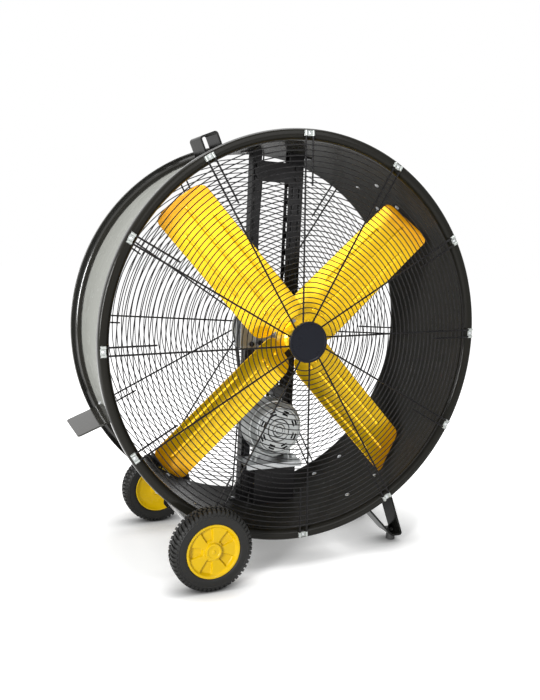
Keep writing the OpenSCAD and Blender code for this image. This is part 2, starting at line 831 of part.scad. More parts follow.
// Section of the belt, with x = 0 on its outer face, a small gap clear of the groove's walls
module belt_section(inset = 0) {
    out = belt_top_w / 2 - belt_sink * tan(groove_angle) - pass_gap / cos(groove_angle) - inset;
    in = out - belt_h * tan(groove_angle);
    polygon([[inset - belt_h, -in], [-inset, -out], [-inset, out], [inset - belt_h, in]]);
}

// Belt round both pulleys: an arc on each and a straight run on each side that is let into the arcs
module v_belt() {
    run = drive_drop * cos(wrap_angle);
    join = 1;
    inset = 0.05;
    color([0.08, 0.08, 0.08]) front_view(belt_z) {
        rotate([0, 0, -wrap_angle]) rotate_extrude(angle = 180 + 2 * wrap_angle) translate([fan_belt_r, 0])
            belt_section();
        translate([0, -drive_drop, 0]) rotate([0, 0, 180 + wrap_angle])
            rotate_extrude(angle = 180 - 2 * wrap_angle) translate([motor_belt_r, 0]) belt_section();
        for (side = [0, 1]) mirror([side, 0, 0]) rotate([0, 0, -wrap_angle])
            translate([fan_belt_r, join, 0]) rotate([90, 0, 0])
                linear_extrude(height = run + 2 * join) belt_section(inset);
    }
}

// Moves children to the motor's axis
module motor_view() {
    front_view() translate([0, -drive_drop, 0]) children();
}

// Round motor housing with a seat for the capacitor on top
module motor_frame() {
    color("lightgray") motor_view() difference() {
        union() {
            translate([0, 0, motor_back_z]) cylinder(r = motor_r, h = motor_shoulder_z - motor_back_z);
            translate([0, 0, motor_back_z + 6]) linear_extrude(height = 26) rotate([0, 0, cap_angle])
                translate([motor_r - 2, -12]) square([10, 24]);
        }
        translate([0, 0, motor_back_z - cut])
            cylinder(r = motor_r - motor_wall, h = motor_shoulder_z - motor_back_z + 2 * cut);
        translate(concat(polar(cap_at, cap_angle), [motor_end_z])) cylinder(r = cap_r + lay_gap, h = 80);
    }
}

// Domed front cover with pairs of curved vents and a raised middle
module motor_front_bell() {
    r = motor_r;
    spigot = r - motor_wall - lay_gap;
    z0 = motor_shoulder_z + lay_gap;
    z1 = motor_face_z;
    color("lightgray") motor_view() difference() {
        rotate_extrude() polygon([
            [0, z1], [18, z1], [20, z1 - 2], [20, z1 - 5], [26, z1 - 5], [27, z1 - 3], [48, z1 - 3],
            [52, z1 - 5], [r - 16, z1 - 13], [r - 7, z1 - 20], [r - 3, z1 - 27], [r, z0 + 6], [r, z0],
            [spigot, z0], [spigot, z0 - 6], [r - 8, z0 - 6], [r - 8, z1 - 26], [r - 19, z1 - 17],
            [52, z1 - 9], [26, z1 - 8], [22, z1 - 20], [0, z1 - 20]
        ]);
        for (i = [0:5]) rotate([0, 0, 60 * i + 12]) {
            for (ring = [34, 41]) vent(ring, 28, z1);
            vent(57, 20, z1);
        }
        translate([0, 0, z1 - 20 - cut]) cylinder(r = motor_shaft_r + run_gap, h = 12 + cut);
    }
}

// One curved slot, 3 wide, cut through the front cover
module vent(ring, spread, top) {
    rotate([0, 0, -spread / 2]) rotate_extrude(angle = spread)
        translate([ring, top - 24]) square([3.2, 30]);
}

// Rear cover with the shaft's hole
module motor_rear_bell() {
    r = motor_r;
    z0 = motor_back_z - lay_gap;
    z1 = motor_end_z;
    bore = motor_shaft_r + run_gap;
    spigot = r - motor_wall - lay_gap;
    color("lightgray") motor_view() rotate_extrude() polygon([
        [bore, z1], [22, z1], [24, z1 + 2], [60, z1 + 4], [r - 4, z1 + 8], [r, z1 + 12], [r, z0],
        [spigot, z0], [spigot, z0 + 5], [r - 8, z0 + 5], [r - 8, z1 + 13], [60, z1 + 9], [24, z1 + 8],
        [24, z1 + 14], [bore, z1 + 14]
    ]);
}

// Ring of core plates with round winding heads on both sides
module motor_stator() {
    color([0.6, 0.35, 0.2]) motor_view() rotate_extrude() {
        translate([44, -9]) square([motor_r - motor_wall - lay_gap - 44, 24]);
        for (z = [-9, 15]) translate([54, z]) circle(r = 5, $fn = small_fn);
    }
}

// Turning core on the motor shaft
module motor_rotor() {
    from = motor_face_z - 18;
    to = belt_z - pulley_w / 2 - 12;
    color("silver") motor_view() {
        translate([0, 0, -9]) cylinder(r = 43.4, h = 24);
        translate([0, 0, to]) cylinder(r = motor_shaft_r, h = from - to);
    }
}

// Capacitor can with a rolled front edge
module capacitor() {
    from = motor_end_z + 2;
    color([0.1, 0.1, 0.1]) motor_view() translate(concat(polar(cap_at, cap_angle), [0]))
        rotate_extrude() polygon([
            [0, from], [cap_r - 1, from], [cap_r, from + 1],
            [cap_r, 18], [cap_r - 2, 20], [cap_r - 4, 20], [cap_r - 4, 18], [0, 18]
        ]);
}

// Bent cradle between the motor and its plate
module motor_foot() {
    drop = drive_drop + plate_top;
    low = drop + lay_gap;
    color("lightgray") motor_view() translate([0, 0, cradle_from]) difference() {
        linear_extrude(height = cradle_l) difference() {
            union() {
                polygon([[-cradle_x, low], [cradle_x, low], [cradle_x - 4, -58], [4 - cradle_x, -58]]);
                translate([-cradle_x - 24, low]) square([2 * cradle_x + 48, 4]);
            }
            circle(r = motor_r + lay_gap);
            polygon([
                [4 - cradle_x, low - cut], [cradle_x - 4, low - cut], [cradle_x - 8, -motor_r + 4],
                [0, -motor_r - 5], [8 - cradle_x, -motor_r + 4]
            ]);
        }
        for (p = cradle_bolts) translate([p[0], low - cut, p[1] - cradle_from]) rotate([-90, 0, 0])
            cylinder(r = bolt_r + lay_gap, h = 8, $fn = small_fn);
    }
}

// Flat motor plate with its front lip folded down
module motor_plate() {
    left = -84;
    right = 78;
    back = front_plate_z + 0.5;
    front = 48;
    lip = 14;
    color("lightgray") front_view() difference() {
        union() {
            translate([left, plate_top - motor_plate_t, back])
                cube([right - left, motor_plate_t, front - back]);
            translate([left, plate_top - lip, front - motor_plate_t])
                cube([right - left, lip, motor_plate_t]);
        }
        for (p = concat(cradle_bolts, jack_bolts)) translate([p[0], plate_top - motor_plate_t - cut, p[1]])
            rotate([-90, 0, 0]) cylinder(r = bolt_r + lay_gap, h = motor_plate_t + 2 * cut, $fn = small_fn);
    }
}

// Folded bracket on the drum's bottom: front wall, two sides, top flange, wings on the uprights and a foot
module motor_bracket() {
    back = front_plate_z + lay_gap;
    deep = bracket_front - back;
    low = -bore_r;
    wide = bracket_right - bracket_left;
    tall = bracket_top - low;
    color([0.1, 0.1, 0.1]) front_view() difference() {
        intersection() {
            translate([0, 0, -drum_depth / 2]) cylinder(r = bore_r - lay_gap, h = drum_depth);
            union() {
                difference() {
                    translate([bracket_left, low, back]) cube([wide, tall, deep]);
                    translate([bracket_left + bracket_t, low - cut, back - cut])
                        cube([wide - 2 * bracket_t, tall - bracket_t + cut, deep - bracket_t + cut]);
                }
                translate([left_bolt_x - 10, -wing_low, back])
                    cube([bracket_left - left_bolt_x + 14, wing_low - wing_high, bracket_t]);
                translate([right_bolt_x - 10, -wing_low, back])
                    cube([bracket_right - right_bolt_x + 10, wing_low - wing_high, bracket_t]);
                translate([0, 0, back + deep / 2])
                    saddle(bore_r - lay_gap - bracket_t, bracket_t + cut, 265.6, 279.8, deep - bracket_t);
            }
        }
        for (p = bracket_bolts) translate([p[0], p[1], back - cut])
            cylinder(r = bolt_r + lay_gap, h = bracket_t + 2 * cut, $fn = small_fn);
        for (p = jack_bolts) translate([p[0], bracket_top - bracket_t - cut, p[1]]) rotate([-90, 0, 0])
            cylinder(r = bolt_r + lay_gap, h = bracket_t + 2 * cut, $fn = small_fn);
        screw_holes(drive_screws);
    }
}

// Bolts of the cradle, and the long bolts with which the motor plate is raised to stretch the belt
module motor_bolts() {
    gap = plate_top - motor_plate_t - bracket_top;
    color("gainsboro") front_view() {
        for (p = cradle_bolts) translate([p[0], plate_top + 4 + 2 * lay_gap, p[1]]) rotate([-90, 0, 0])
            hex_bolt(motor_plate_t + 4 + 3 * lay_gap);
        for (p = jack_bolts) translate([p[0], plate_top + lay_gap, p[1]]) rotate([-90, 0, 0]) {
            hex_bolt(motor_plate_t + gap + bracket_t + 2 * lay_gap);
            for (y = [-motor_plate_t - lay_gap - bolt_head_h, -motor_plate_t - gap + lay_gap])
                translate([0, 0, y]) hex(bolt_across, bolt_head_h);
        }
    }
}

// A strap of even thickness along a line of points
module strap(points, t) {
    n = len(points) - 1;
    function along(i) = points[min(i + 1, n)] - points[max(i - 1, 0)];
    function side(i) = [-along(i)[1], along(i)[0]] / norm(along(i)) * t / 2;
    polygon(concat(
        [for (i = [0:n]) points[i] - side(i)],
        [for (i = [n:-1:0]) points[i] + side(i)]
    ));
}

// Points of a round bend with its corner at b, on the way from a to c, that starts a length before b
function bend(a, b, c, reach) = let (u = (a - b) / norm(a - b) * reach, v = (c - b) / norm(c - b) * reach)
    [for (i = [0:6]) let (s = i / 6) b + pow(1 - s, 2) * u + pow(s, 2) * v];

// One bent leg: a tab under the skin, down to the foot, and up again to a second tab
module leg() {
    base_r = skin_r + lay_gap;
    a = polar(base_r + leg_t / 2, 296);
    b = [foot_right - 16, leg_low];
    c = [foot_right + 16, leg_low];
    d = polar(base_r + leg_t / 2, 307.6);
    difference() {
        linear_extrude(height = leg_w, center = true) {
            strap(concat([a], bend(a, b, c, 8), bend(b, c, d, 8), [d]), leg_t);
            saddle_outline(base_r, leg_t, 291.8, 296.7);
            saddle_outline(base_r, leg_t, 303.2, 308.4);
        }
        translate([foot_right, leg_low + leg_t, 0]) rotate([90, 0, 0])
            cylinder(r = bolt_r + lay_gap, h = 2 * leg_t, $fn = small_fn);
    }
}

module front_leg() {
    color([0.1, 0.1, 0.1]) front_view() difference() {
        translate([0, 0, leg_y]) leg();
        screw_holes(leg_screws);
    }
}

module rear_leg() {
    color([0.1, 0.1, 0.1]) front_view() difference() {
        translate([0, 0, -leg_y]) leg();
        screw_holes(leg_screws);
    }
}

// Rubber feet, each with the stud that holds it in its leg
module leg_feet() {
    color([0.15, 0.15, 0.15]) front_view() for (z = [leg_y, -leg_y]) translate([foot_right, -axis_h, z])
        rotate([-90, 0, 0]) {
            rotate_extrude() polygon([
                [0, 0], [foot_r - 2, 0], [foot_r, 2], [foot_r - 1.5, foot_h - lay_gap],
                [0, foot_h - lay_gap]
            ]);
            translate([0, 0, foot_h - cut]) cylinder(r = bolt_r, h = leg_t + nut_h + cut, $fn = small_fn);
            translate([0, 0, foot_h + leg_t + lay_gap]) hex(bolt_across, nut_h);
        }
}

// Top handle: a wide strap bent to a U with a tab on each side
module top_handle() {
    base_r = skin_r + lay_gap;
    corner = 9;
    top = base_r + handle_rise;
    tab = 7.2;
    inner = asin((handle_span / 2 - leg_t) / base_r);
    color([0.1, 0.1, 0.1]) front_view() difference() {
        rotate([0, 0, handle_angle]) {
            linear_extrude(height = handle_w, center = true) {
                difference() {
                    handle_profile(top, handle_span / 2, corner);
                    handle_profile(top - leg_t, handle_span / 2 - leg_t, corner - leg_t);
                    circle(r = base_r + leg_t / 2);
                }
                saddle_outline(base_r, leg_t, -tab, -inner);
                saddle_outline(base_r, leg_t, inner, tab);
            }
        }
        screw_holes(handle_screws);
    }
}

// A bar outline with round outer corners, from inside the skin out to the given radius
module handle_profile(top, wide, corner) {
    translate([bore_r, -wide]) square([top - corner - bore_r, 2 * wide]);
    translate([bore_r, corner - wide]) square([top - bore_r, 2 * (wide - corner)]);
    for (side = [-1, 1]) translate([top - corner, side * (wide - corner)])
        circle(r = corner, $fn = small_fn);
}

// Foot step: a flat tread that stands out of the skin, with its tab against the skin
module tilt_step() {
    base_r = skin_r + lay_gap;
    tread_t = 4;
    corner = 10;
    color([0.14, 0.14, 0.14]) front_view() difference() {
        union() {
            rotate([0, 0, step_angle]) rotate([90, 0, 0]) translate([0, 0, -tread_t])
                linear_extrude(height = tread_t) {
                    translate([base_r, -step_w / 2]) square([step_reach - corner, step_w]);
                    translate([base_r, corner - step_w / 2]) square([step_reach, step_w - 2 * corner]);
                    for (y = [-1, 1]) translate([base_r + step_reach - corner, y * (step_w / 2 - corner)])
                        circle(r = corner, $fn = small_fn);
                }
            saddle(base_r, leg_t, step_angle, step_angle + 4.6, step_w);
        }
        screw_holes(step_screws);
    }
}

// Axle bar with bevelled ends
module axle() {
    r = axle_d / 2;
    bevel = 0.8;
    color("silver") front_view() translate([-axle_left, axle_level - axis_h, 0]) rotate_extrude() polygon([
        [0, -axle_end], [r - bevel, -axle_end], [r, bevel - axle_end],
        [r, axle_end - bevel], [r - bevel, axle_end], [0, axle_end]
    ]);
}

// Axle brackets: a tab on the skin and a plate out to the axle's hole
module axle_brackets() {
    base_r = skin_r + lay_gap;
    tab_w = 34;
    out = norm([axle_left, axis_h - axle_level]);
    eye = 17;
    color([0.1, 0.1, 0.1]) front_view() difference() {
        for (side = [-1, 1]) rotate([0, 0, axle_angle]) {
            translate([0, 0, side * bracket_y]) saddle(base_r, leg_t, -6.4, 6.4, tab_w);
            translate([0, 0, side * (bracket_y - tab_w / 2 + leg_t / 2)])
                linear_extrude(height = leg_t, center = true) difference() {
                    union() {
                        polygon([[bore_r, -50], [out, -eye], [out, eye], [bore_r, 50]]);
                        translate([out, 0]) circle(r = eye, $fn = 48);
                    }
                    circle(r = base_r);
                }
        }
        translate([-axle_left, axle_level - axis_h, -half])
            cylinder(r = axle_d / 2 + lay_gap, h = drum_depth);
        screw_holes(bracket_screws);
    }
}

// Rings pressed on the axle on both sides of each wheel
module axle_clips() {
    ring_r = axle_d / 2 + 6;
    inner = half + wheel_gap - 1 - pass_gap - 4;
    outer = half + wheel_gap + tyre_w - clip_sink;
    color("gainsboro") front_view() translate([-axle_left, axle_level - axis_h, 0]) for (side = [0, 180])
        rotate([0, side, 0]) {
            translate([0, 0, inner]) tube(ring_r, axle_d / 2 + run_gap / 2, 4);
            translate([0, 0, outer]) tube(ring_r - 2, axle_d / 2 + run_gap / 2, clip_ring_w);
        }
}

// Tyre with a row of blocks on each shoulder, the rows half a block apart
module tyre() {
    r = wheel_d / 2;
    seat = wheel_hub_d / 2 + lay_gap;
    w = tyre_w / 2;
    blocks = 54;
    difference() {
        rotate_extrude() polygon([
            [seat, -w + 6], [seat + 3, -w + 1], [seat + 8, -w], [r - 12, -w], [r - 9, 0.6 - w],
            [r - 3, 3 - w], [r - 0.6, 9 - w], [r, 0], [r - 0.6, w - 9], [r - 3, w - 3],
            [r - 9, w - 0.6], [r - 12, w], [seat + 8, w], [seat + 3, w - 1], [seat, w - 6]
        ]);
        for (i = [0:blocks - 1], side = [0, 1]) rotate([0, 0, (i + side / 2) * 360 / blocks])
            translate([r - 5.5, -2.2, side == 0 ? 1 : -w - cut]) cube([8, 4.4, w + cut - 1]);
    }
}

// Wheel centre: dished disc with five sunk fields on its outer face, a long boss and a closed middle
module wheel_hub() {
    r = wheel_hub_d / 2;
    w = tyre_w / 2 - 3;
    hub_r = 20;
    bore = axle_d / 2 + run_gap;
    fields = 5;
    ring_seat = tyre_w / 2 - clip_sink - pass_gap;
    room = axle_end - wheel_mid + pass_gap;
    difference() {
        rotate_extrude() polygon([
            [bore, -tyre_w / 2 - 1], [hub_r - 3, -tyre_w / 2 - 1], [hub_r - 2, 3 - w], [hub_r + 2, 8 - w],
            [r - 14, 6 - w], [r - 4, 1 - w], [r - 3, -w], [r, -w], [r, w], [r - 3, w], [r - 5, w - 3],
            [r - 10, w - 6], [hub_r, w - 6], [hub_r - 1, w + 2], [hub_r - 5, w + 2], [hub_r - 6, w + 1],
            [5, w + 1], [4, w + 2], [0, w + 2], [0, room], [hub_r - 7, room], [hub_r - 7, ring_seat],
            [bore, ring_seat]
        ]);
        for (i = [0:fields - 1]) rotate([0, 0, i * 360 / fields + 20]) rotate_extrude(angle = 34)
            polygon([[hub_r + 6, w - 12], [r - 14, w - 12], [r - 10, w], [hub_r + 3, w]]);
    }
}

// Moves children to a wheel's middle, outer side upwards
module wheel_place(side) {
    front_view() translate([-axle_left, axle_level - axis_h, 0]) rotate([0, side, 0])
        translate([0, 0, wheel_mid]) children();
}

module front_tyre() { color([0.15, 0.15, 0.15]) wheel_place(0) tyre(); }
module rear_tyre() { color([0.15, 0.15, 0.15]) wheel_place(180) tyre(); }
module front_wheel_hub() { color("gold") wheel_place(0) wheel_hub(); }
module rear_wheel_hub() { color("gold") wheel_place(180) wheel_hub(); }

// Moves children to the switch box: x points out of the skin, z to the fan's front
module box_view() {
    front_view() rotate([0, 0, box_angle]) children();
}

// Box with a curved floor on the skin, screw posts in its corners, and holes for the knob and the gland
module switch_box() {
    base_r = skin_r + lay_gap;
    top = skin_r + box_out;
    post_r = 5;
    color([0.12, 0.12, 0.12]) box_view() difference() {
        union() {
            difference() {
                box_block(skin_r - 12, top, 0);
                translate([0, 0, -box_y]) cylinder(r = base_r, h = 2 * box_y);
                difference() {
                    box_block(skin_r - 14, top + cut, box_wall);
                    translate([0, 0, -box_y]) cylinder(r = base_r + box_floor, h = 2 * box_y);
                }
            }
            for (p = box_posts) translate([base_r - 1.5, p[0], p[1]]) rotate([0, 90, 0])
                cylinder(r = post_r, h = top - base_r + 1.5, $fn = small_fn);
        }
        for (p = box_posts) translate([top - 14, p[0], p[1]]) rotate([0, 90, 0])
            cylinder(r = 2 + lay_gap, h = 16, $fn = small_fn);
        translate([box_port_x, knob_at, -box_y]) cylinder(r = 4 + run_gap, h = box_y, $fn = small_fn);
        translate([box_port_x, gland_at, -box_y]) cylinder(r = 8 + lay_gap, h = box_y, $fn = small_fn);
        rotate([0, 0, -box_angle]) screw_holes(box_screws);
    }
}

// A block with round upright edges between two distances from the axis, smaller by the inset on four sides
module box_block(from, to, inset) {
    translate([from, 0, 0]) rotate([0, 90, 0])
        round_plate(box_y - 2 * inset, box_w - 2 * inset, 6 - inset, to - from);
}

module switch_cover() {
    color([0.12, 0.12, 0.12]) box_view() difference() {
        box_block(skin_r + box_out + lay_gap, skin_r + box_out + lay_gap + box_lid, 0);
        for (p = box_posts) translate([skin_r + box_out, p[0], p[1]]) rotate([0, 90, 0])
            cylinder(r = 2 + lay_gap, h = 10, $fn = small_fn);
    }
}

module switch_screws() {
    seat = skin_r + box_out + box_lid + 2 * lay_gap;
    color("gainsboro") box_view() for (p = box_posts)
        translate([seat, p[0], p[1]]) rotate([0, 90, 0]) difference() {
            union() {
                cylinder(r1 = 4, r2 = 3, h = 2.4, $fn = small_fn);
                translate([0, 0, -12]) cylinder(r = 2, h = 13, $fn = small_fn);
            }
            for (a = [0, 90]) rotate([0, 0, a]) translate([0, 0, 2.4]) cube([4.6, 1, 2], center = true);
        }
}

// Fluted speed knob on its spindle, on the rear wall of the box
module speed_knob() {
    knob_r = 17;
    knob_h = 15;
    flutes = 12;
    through = pass_gap + box_wall;
    color([0.1, 0.1, 0.1]) box_view()
        translate([box_port_x, knob_at, -box_y / 2 - pass_gap]) rotate([0, 180, 0]) {
            difference() {
                cylinder(r1 = knob_r, r2 = knob_r - 2, h = knob_h);
                for (i = [0:flutes - 1]) rotate([0, 0, (i + 0.5) * 360 / flutes])
                    translate([knob_r + 1, 0, 4]) cylinder(r = 3, h = knob_h, $fn = small_fn);
                translate([0, -0.8, knob_h - 1.2]) cube([knob_r, 1.6, 3]);
            }
            translate([0, 0, -through - 6]) cylinder(r = 4, h = through + 7, $fn = small_fn);
            translate([0, 0, -through - pass_gap - 4]) cylinder(r = 6.5, h = 4, $fn = small_fn);
        }
}

// Cable gland: a threaded stem through the wall with a lock nut, a hex body and a domed cap, all bored
module cable_gland() {
    through = lay_gap + box_wall;
    color([0.08, 0.08, 0.08]) box_view()
        translate([box_port_x, gland_at, -box_y / 2 - lay_gap]) rotate([0, 180, 0]) difference() {
            union() {
                hex(22, 7);
                rotate_extrude() polygon([[0, 0], [10.5, 0], [10.5, 15], [8, 20], [0, 20]]);
                translate([0, 0, -through - 9]) cylinder(r = 8, h = through + 10, $fn = small_fn);
                translate([0, 0, -through - lay_gap - 4]) hex(22, 4);
            }
            translate([0, 0, -20]) cylinder(r = 4.5, h = 50, $fn = small_fn);
        }
}

drum_shell();
front_rim();
rear_rim();
drum_screws();
front_guard_rings();
front_guard_spokes();
front_guard_clips();
front_badge();
rear_guard_rings();
rear_guard_spokes();
rear_guard_clips();
rear_guard_hub();
clip_screws();
left_upright();
right_upright();
top_cross_plate();
front_bearing_plate();
rear_bearing_plate();
bearing_housings();
bearing_inserts();
plate_bolts();
fan_shaft();
fan_hub();
blade_1();
blade_2();
blade_3();
blade_4();
blade_bolts();
fan_pulley();
shaft_collars();
motor_bracket();
motor_plate();
motor_foot();
motor_frame();
motor_front_bell();
motor_rear_bell();
motor_stator();
motor_rotor();
motor_pulley();
capacitor();
motor_bolts();
v_belt();
top_handle();
tilt_step();
front_leg();
rear_leg();
leg_feet();
axle();
axle_brackets();
axle_clips();
front_tyre();
front_wheel_hub();
rear_tyre();
rear_wheel_hub();
switch_box();
switch_cover();
switch_screws();
speed_knob();
cable_gland();
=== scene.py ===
from math import atan2, cos, pi, radians, sin, sqrt

import bmesh
import bpy
from mathutils import Matrix, Vector


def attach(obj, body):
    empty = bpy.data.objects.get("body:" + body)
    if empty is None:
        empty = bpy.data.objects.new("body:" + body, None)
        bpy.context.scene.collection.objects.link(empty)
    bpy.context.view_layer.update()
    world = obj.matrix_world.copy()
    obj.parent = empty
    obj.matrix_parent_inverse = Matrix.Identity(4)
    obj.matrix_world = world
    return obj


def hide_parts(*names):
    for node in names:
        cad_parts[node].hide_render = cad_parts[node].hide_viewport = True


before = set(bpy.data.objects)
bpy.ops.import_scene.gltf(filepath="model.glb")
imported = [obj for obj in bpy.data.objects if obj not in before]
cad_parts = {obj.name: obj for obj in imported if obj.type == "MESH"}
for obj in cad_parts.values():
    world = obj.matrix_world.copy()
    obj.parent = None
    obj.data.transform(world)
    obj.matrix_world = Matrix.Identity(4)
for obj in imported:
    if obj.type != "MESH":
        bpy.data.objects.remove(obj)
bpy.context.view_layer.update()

# Camera: a short tele lens a little above the shaft, to the left of the drum's front.
# It is turned to the drum's middle and tilted a touch, so that both wheels show.
AXIS_X = 0.01162
AXIS_Z = 0.584
camera_place = Vector((AXIS_X - 0.8302, -1.8301, AXIS_Z + 0.2226))
camera_yaw, camera_pitch, camera_roll = 0.4208, -0.1340, 0.0451
focal_pixels = 748.5
picture_height_pixels = 700

ahead = Vector((sin(camera_yaw) * cos(camera_pitch), cos(camera_yaw) * cos(camera_pitch), sin(camera_pitch)))
level = Vector((cos(camera_yaw), -sin(camera_yaw), 0))
upward = level.cross(ahead)
camera_x = cos(camera_roll) * level + sin(camera_roll) * upward
camera_y = cos(camera_roll) * upward - sin(camera_roll) * level
lens = bpy.data.cameras.new("camera")
lens.sensor_width = 36
lens.lens = focal_pixels / picture_height_pixels * lens.sensor_width
lens.clip_end = 60
camera = bpy.data.objects.new("camera", lens)
bpy.context.scene.collection.objects.link(camera)
camera.matrix_world = Matrix.Translation(camera_place) @ Matrix((camera_x, camera_y, -ahead)).transposed().to_4x4()
bpy.context.scene.camera = camera
bpy.context.scene.view_settings.view_transform = "Standard"


# Floor and light: a plain pale floor that runs into a white room, lit by three soft lamps.
# The floor shows white to the camera and to reflections. It keeps the fan's soft shadow, darkest close to the fan,
# where painted shade (ambient occlusion) deepens it.
def add_node(tree, kind, inputs=(), **settings):
    """A new shader node; an input takes a value, or a socket to link to."""
    made = tree.nodes.new("ShaderNode" + kind)
    for key, value in settings.items():
        setattr(made, key, value)
    for key, value in dict(inputs).items():
        if isinstance(value, bpy.types.NodeSocket):
            tree.links.new(value, made.inputs[key])
        else:
            made.inputs[key].default_value = value
    return made


def seen_directly(tree):
    """1 for rays from the camera, off gloss and through glass, and 0 for light that falls on the fan."""
    path = add_node(tree, "LightPath")
    either = add_node(tree, "Math", {0: path.outputs["Is Camera Ray"], 1: path.outputs["Is Glossy Ray"]},
                      operation="MAXIMUM")
    return add_node(tree, "Math", {0: either.outputs[0], 1: path.outputs["Is Transmission Ray"]},
                    operation="MAXIMUM").outputs[0]


room_light = 0.20
floor_colour = (0.9, 0.9, 0.895)
floor_lift_near, floor_lift_far = 0.42, 0.95
lift_from, lift_to = 0.36, 0.86
shade_reach, shade_depth = 0.12, 1.3

world = bpy.data.worlds.new("white room")
world.use_nodes = True
bpy.context.scene.world = world
room = world.node_tree
white = (1, 1, 1, 1)
room_strength = add_node(room, "MapRange", {"Value": seen_directly(room), "To Min": room_light, "To Max": 1.0})
room.nodes["Background"].inputs["Color"].default_value = white
room.links.new(room_strength.outputs[0], room.nodes["Background"].inputs["Strength"])

floor_material = bpy.data.materials.new("pale_floor")
floor_material.use_nodes = True
tree = floor_material.node_tree
tree.nodes.clear()
# Painted shade: the floor's colour and glow are darkened close to the fan by ambient occlusion.
close_by = add_node(tree, "AmbientOcclusion", {"Distance": shade_reach})
painted_floor_shade = add_node(tree, "Math", {0: close_by.outputs["AO"], 1: shade_depth}, operation="POWER").outputs[0]
shaded = add_node(tree, "VectorMath", {0: floor_colour, "Scale": painted_floor_shade}, operation="SCALE")
matt = add_node(tree, "BsdfDiffuse", {"Color": shaded.outputs[0]})
place = add_node(tree, "TexCoord")
away = add_node(tree, "VectorMath", {0: place.outputs["Object"]}, operation="LENGTH")
even = add_node(tree, "MapRange", {"Value": away.outputs["Value"], "From Min": lift_from, "From Max": lift_to,
                                   "To Min": floor_lift_near, "To Max": floor_lift_far},
                interpolation_type="SMOOTHSTEP")
seen_lift = add_node(tree, "Math", {0: seen_directly(tree), 1: even.outputs[0]}, operation="MULTIPLY")
open_lift = add_node(tree, "Math", {0: seen_lift.outputs[0], 1: painted_floor_shade}, operation="MULTIPLY")
glow = add_node(tree, "Emission", {"Color": white, "Strength": open_lift.outputs[0]})
floor_sum = add_node(tree, "AddShader", {0: matt.outputs[0], 1: glow.outputs[0]})
add_node(tree, "OutputMaterial", {"Surface": floor_sum.outputs[0]})

floor_reach = 20
mesh = bpy.data.meshes.new("floor")
mesh.from_pydata([(-floor_reach, -floor_reach, 0), (floor_reach, -floor_reach, 0),
                  (floor_reach, floor_reach, 0), (-floor_reach, floor_reach, 0)], [], [(0, 1, 2, 3)])
mesh.materials.append(floor_material)
floor = bpy.data.objects.new("floor", mesh)
bpy.context.scene.collection.objects.link(floor)


def soft_lamp(name, place, aim, width, height, power):
    """A large flat lamp at a place, turned to the point that it aims at; sizes in metres, power in watts."""
    lamp = bpy.data.lights.new(name, "AREA")
    lamp.shape = "RECTANGLE"
    lamp.size, lamp.size_y, lamp.energy = width, height, power
    holder = bpy.data.objects.new(name, lamp)
    bpy.context.scene.collection.objects.link(holder)
    holder.location = place
    holder.rotation_euler = (Vector(aim) - Vector(place)).to_track_quat("-Z", "Y").to_euler()
    holder.visible_camera = False


soft_lamp("lamp_overhead", (0, -0.2, 3.1), (0, 0, 0.5), 2.0, 1.7, 70)
soft_lamp("lamp_left", (-2.4, -2.1, 1.0), (0, 0, 0.6), 0.6, 1.2, 128)
soft_lamp("lamp_front", (1.0, -3.2, 1.5), (0, 0, 0.5), 1.4, 1.4, 20)

# Drum skin: a steel sheet rolled to a short wide tube, powder coated gloss black; its light grey outside is a painted
# reflection of the white room in the gloss.
# Domed screws pass through it for everything that it carries. The sizes below are in millimetres, in a view that
# looks at the fan's front with the rotor's axis as z.
MM = 0.001
front_view = Matrix.Translation((AXIS_X, 0, AXIS_Z)) @ Matrix.Rotation(pi / 2, 4, "X") @ Matrix.Scale(MM, 4)
skin_r, bore_r, half = 485, 483, 190
hoop_steps = 288


def new_group(name, inputs, outputs):
    """An empty shader node group with its sockets; returns it with its input node and its output node."""
    group = bpy.data.node_groups.new(name, "ShaderNodeTree")
    for label, value in inputs.items():
        socket = group.interface.new_socket(label, in_out="INPUT", socket_type="NodeSocketFloat")
        socket.default_value = value
    for label, kind in outputs.items():
        group.interface.new_socket(label, in_out="OUTPUT", socket_type="NodeSocket" + kind)
    return group, group.nodes.new("NodeGroupInput"), group.nodes.new("NodeGroupOutput")


# Edge rub: a mask of the places where an edge sticks out, broken up as handling does it, and rounded normals.
edge_rub, given, wanted = new_group("edge rub", {"Radius": 0.0012, "Break-up": 90.0},
                                    {"Mask": "Float", "Normal": "Vector"})
bevel = add_node(edge_rub, "Bevel", {"Radius": given.outputs["Radius"]}, samples=4)
true_normal = add_node(edge_rub, "NewGeometry")
turned = add_node(edge_rub, "VectorMath", {0: bevel.outputs[0], 1: true_normal.outputs["Normal"]},
                  operation="DOT_PRODUCT")
edge = add_node(edge_rub, "MapRange", {"Value": turned.outputs["Value"], "From Min": 0.985, "From Max": 0.86})
spot = add_node(edge_rub, "TexCoord")
chips = add_node(edge_rub, "TexNoise", {"Vector": spot.outputs["Object"], "Scale": given.outputs["Break-up"],
                                        "Detail": 4.0, "Roughness": 0.7})
chip_cut = add_node(edge_rub, "MapRange", {"Value": chips.outputs["Fac"], "From Min": 0.46, "From Max": 0.66})
rubbed = add_node(edge_rub, "Math", {0: edge.outputs[0], 1: chip_cut.outputs[0]}, operation="MULTIPLY")
edge_rub.links.new(rubbed.outputs[0], wanted.inputs["Mask"])
edge_rub.links.new(bevel.outputs[0], wanted.inputs["Normal"])

